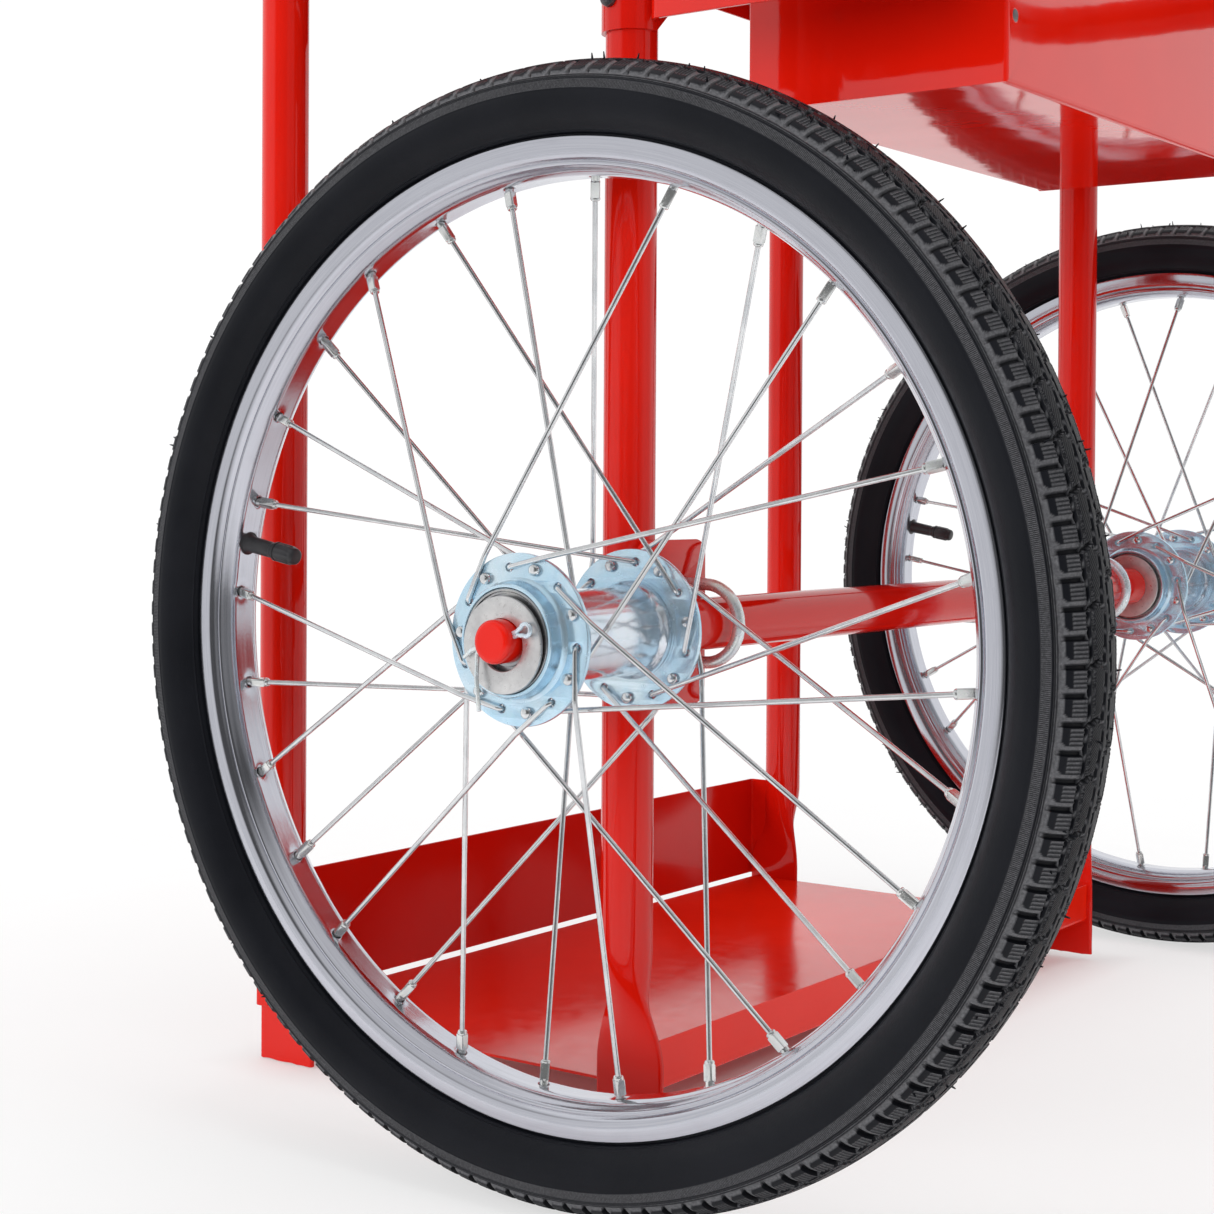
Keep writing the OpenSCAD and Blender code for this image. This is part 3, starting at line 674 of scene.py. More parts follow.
def pan_head(part, p, axis, r, h, shank_r, shank, recess_r=1.6):
    """A pan-head screw: head of radius r and height h with a recess, shank behind p."""
    prof = [(h * 0.55, 0.01), (h * 0.52, recess_r * 0.7), (h * 0.98, recess_r),
            (h, recess_r + 0.25), (h * 0.93, r * 0.62), (h * 0.62, r * 0.92), (h * 0.25, r),
            (0, r), (0, shank_r), (-shank, shank_r), (-shank, 0.01)]
    return lathe(part, p, axis, prof, 40)


# ------------------------------------------------------------------ posts
TRAY_X = (-251, 14)     # ends of the lower tray; each post's foot laps one of them
TRAY_Y = 255
FOOT_T = 3.2            # pressed thickness of the foot
FOOT_W = 36
POST_TOP = 698.4


def foot_outline(toward, edge_x):
    """The pressed post end: a flat double wall beside the tray edge."""
    x0, x1 = sorted((edge_x + toward * FOOT_T, edge_x - toward * FOOT_W))
    y0, y1 = -TRAY_Y, -TRAY_Y - FOOT_T
    corners = round_loop([(x0, y0), (x0, y1), (x1, y1), (x1, y0)], 1.45, 9)
    # points along the long sides keep the flat even
    full = []
    for p, q in zip(corners, np.roll(corners, -1, 0)):
        k = max(1, int(np.linalg.norm(q - p) / 0.6))
        full.extend(p + (q - p) * j / k for j in range(k))
    return np.array(full)


def resample_closed(p, n, start):
    """n points evenly along a closed loop, the first one nearest to start."""
    p = np.roll(p, -int(np.argmin(np.linalg.norm(p - start, axis=1))), 0)
    loop = np.concatenate([p, p[:1]])
    run = run_length(loop)
    s = np.linspace(0, run[-1], n, endpoint=False)
    return np.stack([np.interp(s, run, loop[:, 0]), np.interp(s, run, loop[:, 1])], 1)


def post(name, side, toward, cx, edge_x, z_foot):
    """A round tube at x = cx pressed flat at its foot; toward is the x sign of its tray end."""
    part = Build()
    n = 144
    corner = np.array([edge_x + toward * FOOT_T, -TRAY_Y - FOOT_T])
    foot = resample_closed(foot_outline(toward, edge_x), n, corner)
    a = math.atan2(-1, toward) + full_turn(n)

    def round_row(r):
        return np.stack([cx + r * np.cos(a), -POST_Y + r * np.sin(a)], 1)

    def at_height(row, z):
        return np.column_stack([row, np.broadcast_to(z, n)])

    # the cut edge is a little uneven
    ragged = z_foot + np.abs(0.30 * np.sin(a * 3 + cx) + 0.12 * np.sin(a * 7 + 2))
    tube = round_row(TUBE_R)
    rows = []
    for z in (z_foot, z_foot + 1.2, z_foot + 6, 20, 30, 36):
        dent = 0.25 * math.sin(z * 0.4 + cx)
        row = foot + np.array([dent * 0.3, -abs(dent) * 0.2])
        rows.append(at_height(row, z if rows else ragged))
    for t in np.linspace(0, 1, 25)[1:]:
        s = smooth_step(0, 1, t)
        rows.append(at_height(foot * (1 - s) + tube * s, 36 + 60 * t))
    rows += [at_height(tube, z) for z in (98, 101, 200, 400, 600, 690, POST_TOP)]
    part.grid(np.stack(rows, 1))
    # the raw lower edge: a thin open seam between the pressed walls
    out = np.roll(foot, -1, 0) - np.roll(foot, 1, 0)
    out = np.stack([out[:, 1], -out[:, 0]], 1)
    out /= np.linalg.norm(out, axis=1)[:, None]
    seam = [(0, 0), (0.35, -0.15), (1.25, 0.1), (1.25, 9)]     # (inward, up) from the edge
    part.grid(np.stack([at_height(foot - out * inward, ragged + up) for inward, up in seam], 1),
              flip=True)
    # top: open tube inside the socket
    bore = TUBE_R - TUBE_WALL
    top = [(POST_TOP, TUBE_R), (POST_TOP, bore), (640, bore)]
    part.grid(np.stack([at_height(round_row(r), z) for z, r in top], 1))
    part.make(name + "_tube", RED, name, "red_paint", side, smooth=50)


for side in SIDES:
    post("wheel_post_" + side, side, 1, 0.0, TRAY_X[1], 3.5)
    post("foot_post_" + side, side, -1, REAR_POST_X, TRAY_X[0], 0.0)


# ------------------------------------------------------------------ tray and rear panel
sheet(Build(), [(TRAY_X[0], 26.75), (13.25, 26.75), (13.25, 51)], 2.2, 1.5, -TRAY_Y, TRAY_Y,
      across=True).make("lower_tray_sheet", RED_TRAY_LIT, "lower_tray", "red_paint",
                        smooth=50, bevel=0.35)
PANEL_Y = 258.95
sheet(Build(), [(-243.7, -PANEL_Y), (-256.75, -PANEL_Y), (-256.75, PANEL_Y), (-243.7, PANEL_Y)],
      2.4, 1.5, 29, 99.5).make("rear_panel_sheet", RED_PANEL, "rear_panel", "red_paint",
                               smooth=50, bevel=0.35)


# ------------------------------------------------------------------ axle
AXLE_MID = (AXLE_X, 0, AXLE_Z)
TO_LEFT = (0, -1, 0)
U_BOLT_Y = 238
U_BOLT_R = 19       # from the axle's centre to the middle of the rod
U_BOLT_LEGS = [(sy * U_BOLT_Y, AXLE_Z + U_BOLT_R * sz) for sy in (-1, 1) for sz in (-1, 1)]
STUB_R = 9.65       # bore of the parts that ride on the axle stubs
BEARINGS_Z = (33.2, -58.7)      # inboard face of each bearing, in wheel z
BEARING_MID = 4     # from that face to the ball centres
# ball groove: (depth, distance from the ball centres)
GROOVE = [(0, -2.6), (0.6, -2.14), (1.05, -1.58), (1.4, -0.84), (1.55, 0),
          (1.4, 0.84), (1.05, 1.58), (0.6, 2.14), (0, 2.6)]


def groove(radius, outward, z):
    """Groove profile cut outward (1) or inward (-1) from a ring of this radius."""
    return [(radius + outward * depth, z + BEARING_MID + h) for depth, h in GROOVE]


def axle_tube():
    part = Build()
    end = [(-287.5, 9.7), (-287.5, 12.2), (-287.0, TUBE_R), (-280, TUBE_R), (-100, TUBE_R)]
    lathe(part, AXLE_MID, TO_LEFT, end + [(0, TUBE_R)] + [(-y, r) for y, r in end[::-1]], 96)
    lathe(part, AXLE_MID, TO_LEFT, [(-287.5, 9.6), (287.5, 9.6)], 64)
    part.make("axle_tube_turned", RED, "axle_tube", "red_paint")


def axle_end(side):
    prof = [(230, 0.0), (230, 9.5), (286, 9.5), (400.6, 9.525), (402.2, 9.4), (403.3, 8.7),
            (403.85, 7.6), (404, 6.4), (403.8, 3.0), (403.85, 0.0)]
    lathe(Build(), AXLE_MID, TO_LEFT, prof, 72).make(
        "axle_end_" + side, RED, "axle_stub_" + side, "red_paint", side)


def axle_bracket(side):
    """Plate with folded lips that the U-bolt clamps to the post."""
    part = Build()
    holes = [circle(-U_BOLT_Y, AXLE_Z + U_BOLT_R * k, 3.3, 24) for k in (-1, 1)]
    plate(part, round_rect(-276, AXLE_Z - 40.5, -219, AXLE_Z + 40.5, 8), holes, 2.5, 0.55,
          lambda y, z, h: (FACE_X + 1.25 + h, y, z))
    for z in (AXLE_Z - 39.5, AXLE_Z + 39.5):
        box(part, (FACE_X - 5, -249.5, z - 1), (FACE_X + 0.6, -227.5, z + 1))
    box(part, (FACE_X - 5, -221, AXLE_Z - 32), (FACE_X + 0.6, -219.05, AXLE_Z + 32))
    part.make("axle_bracket_plate_" + side, RED, "axle_bracket_" + side, "red_paint", side,
              smooth=45)


def u_bolts():
    part = Build()
    shank_x = np.linspace(0.4, AXLE_X, 57)
    thread_end, pitch, thread_depth = 17, 1.0, 0.38
    for sy in (-1, 1):
        y = sy * U_BOLT_Y
        path = [(x, y, AXLE_Z - U_BOLT_R) for x in shank_x[:-1]]
        for k in range(24):
            a = -pi / 2 + pi * k / 24
            path.append((AXLE_X + U_BOLT_R * math.cos(a), y, AXLE_Z + U_BOLT_R * math.sin(a)))
        path += [(x, y, AXLE_Z + U_BOLT_R) for x in shank_x[::-1]]
        x = np.array(path)[:, 0]
        thread = thread_depth * (0.5 + 0.5 * np.sin(x * 2 * pi / pitch))
        radius = 3.0 - np.where(x < thread_end, thread, 0)
        radius[0], radius[-1] = 2.6, 2.7
        sweep(part, path, radius, 20)
    part.make("u_bolt_rods", ZINC, "u_bolts", "zinc_plate", smooth=60)

    part = Build()
    for y, z in U_BOLT_LEGS:
        hexagon(part, (FACE_X - 6.3, y, z), (1, 0, 0), 5, NUT_BORE)
    part.make("u_bolt_hex_nuts", ZINC, "u_bolt_nuts", "zinc_plate", smooth=30)

    part = Build()
    prof = [(0, 3.1), (0, 5.7), (0.2, 6), (1.0, 6), (1.2, 5.7), (1.2, 3.1), (0, 3.1)]
    for y, z in U_BOLT_LEGS:
        lathe(part, (FACE_X - 1.2, y, z), (1, 0, 0), prof, 40)
    part.make("u_bolt_flat_washers", ZINC, "u_bolt_washers", "zinc_plate")


def axle_washers(side):
    part = Build()
    for z0, z1, bore in ((44, 46, 11.3), (-62.4, -61.2, STUB_R)):
        revolve(part, round_loop([(bore, z0), (21, z0), (21, z1), (bore, z1)], 0.4, 25), 128)
        # a loose washer hangs down on the stub
        part.verts[-1] = part.verts[-1] - np.array([0, 0, bore - STUB_R])
    part.make("axle_washer_rings_" + side, WASHER, "axle_washers", "zinc_plate", side)


def bearing_cones(side):
    part = Build()
    for z in BEARINGS_Z:
        body = ([(14.3, z), (14.5, z + 0.2)] + groove(14.5, -1, z)
                + [(14.5, z + 7.8), (14.3, z + 8)])
        if z > 0:
            prof = [(9.6, z)] + body + [(11.2, z + 8), (11.0, 42.2), (9.6, 42.2)]
        else:
            prof = [(9.6, -61.1), (13, -61.1), (13, z)] + body + [(9.6, z + 8)]
        revolve(part, prof, 96)
    part.make("bearing_cones_" + side, RACE, "bearing_inner_races", "bearing_steel", side)


def split_pins():
    """Each pin is one bent wire with an eye, tilted 20 degrees in the x-z plane."""
    part = Build()
    tilt_c, tilt_s = math.cos(math.radians(20)), math.sin(math.radians(20))
    # (along the pin, along the axle, across the pin)
    long_leg = [(-18.6, 0.9, -25.0), (-15.6, 0.6, -11.5), (-11.8, 0.1, -1.4), (-9.5, 0, -0.72),
                (0, 0, -0.72), (11.6, 0, -0.78), (13.2, 0, -1.4)]
    short_leg = [(13.2, 0, 1.4), (11.6, 0, 0.78), (0, 0, 0.72), (-9.5, 0, 0.72),
                 (-11.8, -0.1, 0.75), (-15.2, -0.7, 0.9), (-20.5, -1.4, -0.6)]
    eye = []
    for k in range(17):
        a = math.radians(-140 + 280 * k / 16)
        eye.append((16.2 + 2.6 * math.cos(a), 0, 2.6 * math.sin(a)))
    wire = arc_path(long_leg + eye + short_leg, 1.1, 14)
    for sy in (-1, 1):
        path = [(AXLE_X + x * tilt_c - z * tilt_s, sy * (399 + y),
                 AXLE_Z + x * tilt_s + z * tilt_c) for x, y, z in wire]
        sweep(part, path, 1.0, 14, dome=0.4)
    part.make("split_pin_wires", ZINC, "cotter_pins", "zinc_plate", smooth=60)


axle_tube()
for side in SIDES:
    axle_end(side)
    axle_bracket(side)
u_bolts()
for side in SIDES:
    axle_washers(side)
    bearing_cones(side)
split_pins()


# ------------------------------------------------------------------ upper frame sheet metal
BIN_X0, BIN_X1 = 12.0, 154.0
BIN_Z0, BIN_Z1 = 511.5, 611.0


def post_saddle(side):
    """A sheet wrapped round the outboard half of the post."""
    r = FACE_X + 1.0
    path = [(-r - 3.0, -POST_Y + 12), (-r, -POST_Y + 12)]
    for k in range(21):
        a = pi + pi * k / 20
        path.append((r * math.cos(a), -POST_Y + r * math.sin(a)))
    path.append((r, -POST_Y + 13))
    sheet(Build(), path, [1.4] + [0] * (len(path) - 3), 2.0, 537, 600, support=0.0001,
          lower=lambda x, y: 549.0 if x > 10 and y > -262 else 537.0).make(
        "post_saddle_" + side, RED, "post_sleeve_" + side, "red_paint", side,
        smooth=40, bevel=0.4)


def apron(side):
    """Side sheet under the deck, in a lower and an upper panel with a top lip."""
    part = Build()
    x0, x1, y0 = TUBE_R + 2.05, 163.8, -271
    z0, z_step = 541, 650
    sheet(part, [(x0 + 1, -251), (x0 + 1, y0), (x1, y0), (x1, -255.5)], [4.6, 2.6], 2.0,
          z0, z_step,
          lower=lambda x, y: z0 + max(0.0, min(8.0, (y + 268.5) * 2.0)) if x < 40 else z0)
    sheet(part, [(x0 + 5.0, y0), (x1, y0), (x1, -255.5)], 2.6, 2.0, z_step + 0.02, POST_TOP)
    box(part, (x0 + 6, -270.2, POST_TOP - 2), (160, -255, POST_TOP))
    part.make("apron_sheet_" + side, RED_SHEET_LIT, "apron_" + side, "red_paint", side,
              smooth=40, bevel=0.4)


def bin_end(side):
    """End of the bin: web and lap flanges in one bent sheet, mitred at the bottom."""
    def lower(x, y):
        on_lap = x < BIN_X0 + 0.2 or x > BIN_X1 - 0.2
        return BIN_Z0 + (max(0.0, y + 175.0) if on_lap else 0.0)

    part = Build()
    x0, x1 = BIN_X0 - 0.6, BIN_X1 + 0.6
    sheet(part, [(x0, -160), (x0, -175.4), (x1, -175.4), (x1, -160)], 1.6, 1.2,
          BIN_Z0, BIN_Z1, lower=lower, support=0.4)
    box(part, (BIN_X0 + 1, -191, BIN_Z1 - 1.2), (BIN_X1 - 1, -175.0, BIN_Z1))
    # a dark disc with a raised rim stands for the open hole in the lap; its dark colour is painted
    # shade of the hole
    hole_y, hole_z = -167.5, 544
    plate(part, circle(0, 0, 3.1, 28), [], 0.1, 0.02,
          lambda a, c, h: (BIN_X1 + 1.235 + h, hole_y + a, hole_z + c), mat=1)
    lathe(part, (BIN_X1 + 1.2, hole_y, hole_z), (1, 0, 0),
          [(0.0, 3.6), (0.12, 3.5), (0.14, 3.2), (0.02, 3.05)], 28)
    part.make("bin_end_sheet_" + side, [RED_SHEET_LIT, SCREW], "bin_end_" + side, "red_paint", side,
              smooth=40, bevel=0.3)


def storage_bin():
    x0, x1, z0 = BIN_X0 + 0.6, BIN_X1 - 0.6, BIN_Z0 + 0.6
    sheet(Build(), [(x0, BIN_Z1), (x0, z0), (x1, z0), (x1, BIN_Z1)], 2.0, 1.2,
          -174.75, 174.75, across=True).make(
        "storage_bin_sheet", RED_SHEET_LIT, "storage_bin", "red_paint", smooth=50, bevel=0.3)
    for end, x in (("rear", 21), ("front", 128)):
        sheet(Build(), [(x + 20, 612), (x + 1, 612), (x + 1, 631)], 2.2, 2.0,
              -269.9, 269.9, across=True).make(
            "bin_rail_angle_" + end, RED_SHEET_LIT, "bin_rail_" + end, "red_paint",
            smooth=50, bevel=0.4)


def deck():
    """A pan, open below, with rounded corners and edges."""
    z0, z1, corner, edge, wall = 670, 700, 5, 2.6, 1.5

    def loop(inset, z, r):
        q = round_rect(-262 + inset, -280 + inset, 168 - inset, 280 - inset, r)
        return np.array([(x, y, z) for x, y in q])

    part = Build()
    rows = [loop(wall, z0, corner - wall), loop(wall * 0.8, z0, corner - wall * 0.8),
            loop(0.25, z0, corner), loop(0.0, z0 + 0.25, corner), loop(0.0, z0 + 1.5, corner),
            loop(0.0, z1 - edge - 0.6, corner)]
    for k in range(7):
        a = pi / 2 * k / 6
        inset = edge * (1 - math.cos(a))
        rows.append(loop(inset, z1 - edge + edge * math.sin(a), corner - inset * 0.3))
    rows.append(loop(edge + 1.5, z1, corner))
    inside = [loop(wall, z0, corner - wall), loop(wall, z1 - edge, corner - wall),
              loop(edge + 0.3, z1 - wall, corner)]
    n, k = len(rows[0]), len(rows)
    part.grid(np.stack(rows, 1))
    part.cap(n * k, [i * k + k - 1 for i in range(n)])
    part.grid(np.stack(inside, 1), flip=True)
    part.cap(n * 3, [i * 3 + 2 for i in reversed(range(n))])
    part.make("deck_pan", RED, "deck", "red_paint", smooth=40)

    part = Build()
    prof = [(0.0, 12.8), (0.0, 14.6), (0.4, 15), (38, 15), (39.8, 16.6), (39.8, 12.8), (0, 12.8)]
    for x in (0, REAR_POST_X):
        for sy in (-1, 1):
            lathe(part, (x, sy * POST_Y, 658.5), (0, 0, 1), prof, 64)
    part.make("deck_socket_tubes", RED, "deck_sockets", "red_paint", smooth=40)


for side in SIDES:
    post_saddle(side)
    apron(side)
    bin_end(side)
storage_bin()
deck()


# ------------------------------------------------------------------ push handle and screws
HANDLE_X, HANDLE_Z = 350, 640
HANDLE_Y = 272.2 + TUBE_R
HANDLE_BOLTS = [(sy, x) for sy in (-1, 1) for x in (60, 140)]


def push_handle():
    part = Build()
    path = arc_path([(40, -HANDLE_Y, HANDLE_Z), (HANDLE_X, -HANDLE_Y, HANDLE_Z),
                     (HANDLE_X, HANDLE_Y, HANDLE_Z), (40, HANDLE_Y, HANDLE_Z)], 50, 3)
    sweep(part, path, TUBE_R, 64, cap=False)
    sweep(part, path, TUBE_R - TUBE_WALL, 48, cap=False)
    part.make("push_handle_tube", RED, "push_handle", "red_paint", smooth=40)

    # grip: a sleeve with a row of shallow grooves
    outer, length = 17.0, 300
    prof = [(0, 12.75), (0, 15.4), (0.6, 16.4), (1.8, outer), (5, outer)]
    for y in np.arange(6.0, 293, 6.4):
        prof += [(y, outer), (y + 0.9, 16.35), (y + 1.8, 16.35), (y + 2.7, outer)]
    prof += [(298.2, outer), (299.4, 16.4), (length, 15.4), (length, 12.75)]
    lathe(Build(), (HANDLE_X, -length / 2, HANDLE_Z), (0, 1, 0), prof, 72).make(
        "handle_grip_sleeve", GRIP, "handle_grip", "grip_rubber", smooth=40)

    part = Build()
    prof = [(0, 0.01), (0, 2.5), (0.4, 3), (2.0, 3), (33.5, 3), (33.5, 0.01)]
    for sy, x in HANDLE_BOLTS:
        lathe(part, (x, sy * 264.6, HANDLE_Z), (0, sy, 0), prof, 24)
        hexagon(part, (x, sy * (HANDLE_Y + TUBE_R), HANDLE_Z), (0, sy, 0), 4)
    part.make("handle_bolt_set", ZINC, "handle_bolts", "zinc_plate", smooth=30)

    part = Build()
    for sy, x in HANDLE_BOLTS:
        hexagon(part, (x, sy * 264.9, HANDLE_Z), (0, sy, 0), 5, NUT_BORE)
    part.make("handle_nut_set", ZINC, "handle_nuts", "zinc_plate", smooth=30)

    part = Build()
    prof = [(0, 0.01), (0, 8), (0.3, 11.4), (1.0, 12.4), (1.8, 12.7), (3, 12.7), (3.02, 11.1),
            (13, 11.0), (13, 0.01)]
    for sy in (-1, 1):
        lathe(part, (37.0, sy * HANDLE_Y, HANDLE_Z), (1, 0, 0), prof, 56)
    part.make("handle_plug_set", PLASTIC, "handle_plugs", "black_plastic")


def screws():
    part = Build()
    for sy in (-1, 1):
        pan_head(part, (-3, sy * (POST_Y + 14.75), 552), (0, sy, 0),
                 r=4.2, h=3.4, shank_r=2.5, shank=14)
        pan_head(part, (16.85, sy * 257, 575), (1, 0, 0), r=4.2, h=3.2, shank_r=2.5, shank=8.6)
    part.make("sleeve_screw_set", SCREW, "sleeve_screws", "black_screw")
    part = Build()
    for sy in (-1, 1):
        for x in (31, 138):
            pan_head(part, (x, sy * 184, 609.75), (0, 0, -1),
                     r=4, h=2.3, shank_r=2, shank=6.6, recess_r=1.4)
    part.make("bin_screw_set", SCREW, "bin_screws", "black_screw")


push_handle()
screws()


# ------------------------------------------------------------------ wheels
SPOKES = 28
FLANGE_OUT, FLANGE_IN = 34.6, -52.0     # wheel z of the outer faces of the hub flanges
FLANGE_T = 2.5
FLANGE_HOLES_R = 31.5
WIRE_R = 1.2
RIM_R = 202.0       # radius of the rim's inner face
LACE = 3 * 720 / SPOKES     # degrees from a nipple to its flange hole
VALVE_A = 169.5     # degrees round the wheel

# Spokes come in fours (i % 4). Wheel z where the wire leaves its flange, and of its head
# on the flange's other face.
WIRE_Z = {1: FLANGE_OUT + WIRE_R + 0.1, 3: FLANGE_OUT - FLANGE_T - WIRE_R - 0.1,
          0: FLANGE_IN + FLANGE_T + WIRE_R + 0.1, 2: FLANGE_IN - WIRE_R - 0.1}
HEAD_Z = {1: FLANGE_OUT - FLANGE_T - 1.2, 3: FLANGE_OUT + 1.2,
          0: FLANGE_IN - 1.2, 2: FLANGE_IN + FLANGE_T + 1.2}


def on_wheel(r, degrees, z):
    a = math.radians(degrees)
    return np.array([r * math.cos(a), r * math.sin(a), z])


def nipple_angle(i):
    return 9.2 + i * 360 / SPOKES


def nipple_z(i):
    return 2 if i % 4 in (1, 3) else -2


def outside_flange(i):
    return i % 4 in (1, 2)


def flange_angle(i):
    return nipple_angle(i) + (LACE if outside_flange(i) else -LACE)


def angle_from(degrees, target):
    return (degrees - target + 180) % 360 - 180


def tread_section():
    """Smoothed tyre section. Returns at(s) -> r, z, normal r, normal z, and the last s.

    s is the distance across the tread from the crown's middle."""
    # (radius, wheel z) from the crown to the bead
    half = [(TYRE_R, 0), (252.4, 7), (250.9, 13), (248.6, 18.2), (245.5, 21.8), (241, 24.2),
            (236, 25.2), (231, 24.8), (226, 22.6), (222, 19), (219.3, 15.6), (219, 13.3)]
    p = np.array([(r, -z) for r, z in half[:0:-1]] + half, float)
    run = run_length(p)
    s = np.arange(0, run[-1], 0.1)
    q = np.stack([np.interp(s, run, p[:, 0]), np.interp(s, run, p[:, 1])], 1)
    kernel = np.exp(-0.5 * (np.arange(-60, 61) * 0.1 / 1.7) ** 2)
    kernel /= kernel.sum()
    padded = np.concatenate([2 * q[0] - q[60:0:-1], q, 2 * q[-1] - q[-2:-62:-1]])
    line = np.stack([np.convolve(padded[:, i], kernel, "valid") for i in (0, 1)], 1)
    line[:, 0] += TYRE_R - line[:, 0].max() - 0.01
    s = run_length(line)
    s = s - s[len(line) // 2]
    t = np.gradient(line, axis=0)
    t /= np.linalg.norm(t, axis=1)[:, None]
    columns = (line[:, 0], line[:, 1], t[:, 1], -t[:, 0])
    return lambda x: [np.interp(x, s, column) for column in columns], float(s[-1])


def box_distance(px, py, x0, x1, y0, y1, r):
    """Signed distance to a rounded rectangle, negative inside."""
    qx = np.abs(px - (x0 + x1) / 2) - (x1 - x0) / 2 + r
    qy = np.abs(py - (y0 + y1) / 2) - (y1 - y0) / 2 + r
    corner = np.hypot(np.maximum(qx, 0), np.maximum(qy, 0))
    return corner + np.minimum(np.maximum(qx, qy), 0) - r


def window(x, a, b, c, d):
    """Rises from a to b and falls from c to d."""
    return smooth_step(a, b, x) * smooth_step(d, c, x)


def slot(offset, wide, narrow):
    """1 within `narrow` of the slot's middle, 0 beyond `wide`."""
    return smooth_step(wide, narrow, np.abs(offset))


BLOCK = 10.6            # pitch of the shoulder blocks
CELL = 2 * BLOCK        # the crown repeats every two blocks
CELLS = 73


def tread(along, across):
    """Depth below the crown surface, a mask of painted highlights on the groove walls and pale dust
    on the outer gap floors, and the area that carries sipes.

    along runs over one cell; across is the distance from the crown's middle. The crown
    pattern of one half is shifted by a block against the other."""
    off = np.abs(across)
    in_block = along % BLOCK
    in_cell = np.where(across >= 0, along, along + BLOCK) % CELL
    # shoulder: gaps round the blocks, a lower skirt and a comb of fine cuts
    block = box_distance(in_block, off, 1.8, 10.5, 9, 26.2, 2.6)
    gap = smooth_step(-0.15, 0.3, block) * 2.0 * smooth_step(26.4, 24.6, off)
    skirt = smooth_step(-0.1, 0.4, box_distance(in_block, off, 3.5, 14, 6, 23.6, 2.8))
    skirt = skirt * 0.85 * smooth_step(26.3, 25.4, off)
    comb = np.maximum.reduce([slot(in_block - c, 0.42, 0.22) for c in (4.6, 6.2, 7.8, 9.4)])
    comb = comb * smooth_step(20.2, 19.4, off) * 0.95
    shoulder = np.where(block > 0.3, gap, np.maximum.reduce([gap, skirt, comb]))
    shoulder = shoulder * smooth_step(12.9, 13.5, off)
    # crown: edge groove, zigzag, diagonal cut at the cell's end, middle groove and end groove
    f = in_cell / CELL
    edge = slot(off - (11.7 + 1.3 * f), 0.75, 0.45) * 1.5 * window(f, 0.0, 0.03, 0.96, 1.0)
    zigzag = np.abs((f * 9) % 1 - 0.5) * 2 - 0.5
    zigzag = slot(off - (9.3 + 1.0 * f + 0.7 * zigzag), 0.75, 0.35) * 1.25
    zigzag = zigzag * window(f, 0.08, 0.12, 0.93, 0.97)
    from_end = np.where(in_cell > CELL / 2, in_cell - CELL, in_cell)
    cut = slot(from_end - (13.0 - off) * 0.42, 1.15, 0.75) * 1.7 * window(off, 4, 5, 12.8, 13.5)
    middle = slot(off - (3.6 - 2.2 * f), 0.95, 0.6) * 1.5 * window(f, 0.04, 0.08, 0.92, 0.96)
    end = slot(from_end - 0.3, 0.9, 0.6) * 1.3 * window(off, 0.6, 1.2, 4.4, 5.0)
    crown = np.maximum.reduce([edge, zigzag, cut, middle, end]) * smooth_step(13.5, 12.9, off)
    # two fine mould lines below the blocks
    depth = np.maximum.reduce([shoulder, crown, 0.55 * slot(off - 26.75, 0.35, 0.1),
                               0.45 * slot(off - 27.65, 0.35, 0.1)])
    gap_floor = (gap / 2.0) * window(off, 13.5, 14.6, 26.0, 26.5)
    partway = np.clip(depth / 1.4, 0, 1)
    walls = 4 * partway * (1 - partway)
    # painted highlights on the groove walls, and pale dust on the gap floors toward the outer
    # shoulder
    worn = np.clip(0.80 * walls * smooth_step(28, 27, off)
                   + 1.21 * gap_floor * smooth_step(22.4, 25.2, off), 0, 1)
    chevron = window(off, 4.4, 5.2, 8.4, 9.0) * np.clip(1 - depth * 3, 0, 1)
    return depth, worn, chevron


def mould_hairs(part, at):
    """Short leaning hairs on the tread."""
    rng = np.random.default_rng(11)
    for _ in range(90):
        a = rng.uniform(-50, 230)
        s = rng.choice([-1, 1]) * rng.uniform(4, 23)
        r, z, nr, nz = at(s)
        base, normal = on_wheel(r, a, z), on_wheel(nr, a, nz)
        lean, u, w = cross_axes(normal + rng.normal(0, 0.35, 3), ref=(0.3, 0.5, 0.8))
        length = rng.uniform(0.9, 3.0)
        tip = base + lean * length + u * rng.normal(0, 0.3)
        arms = [math.cos(q) * u + math.sin(q) * w for q in full_turn(4)]
        verts = [base - normal * 0.6 + 0.62 * arm for arm in arms]
        verts += [tip + 0.26 * arm for arm in arms]
        faces = [(i, (i + 1) % 4, 4 + (i + 1) % 4, 4 + i) for i in range(4)] + [(7, 6, 5, 4)]
        part.add(wheel_map(verts), faces)


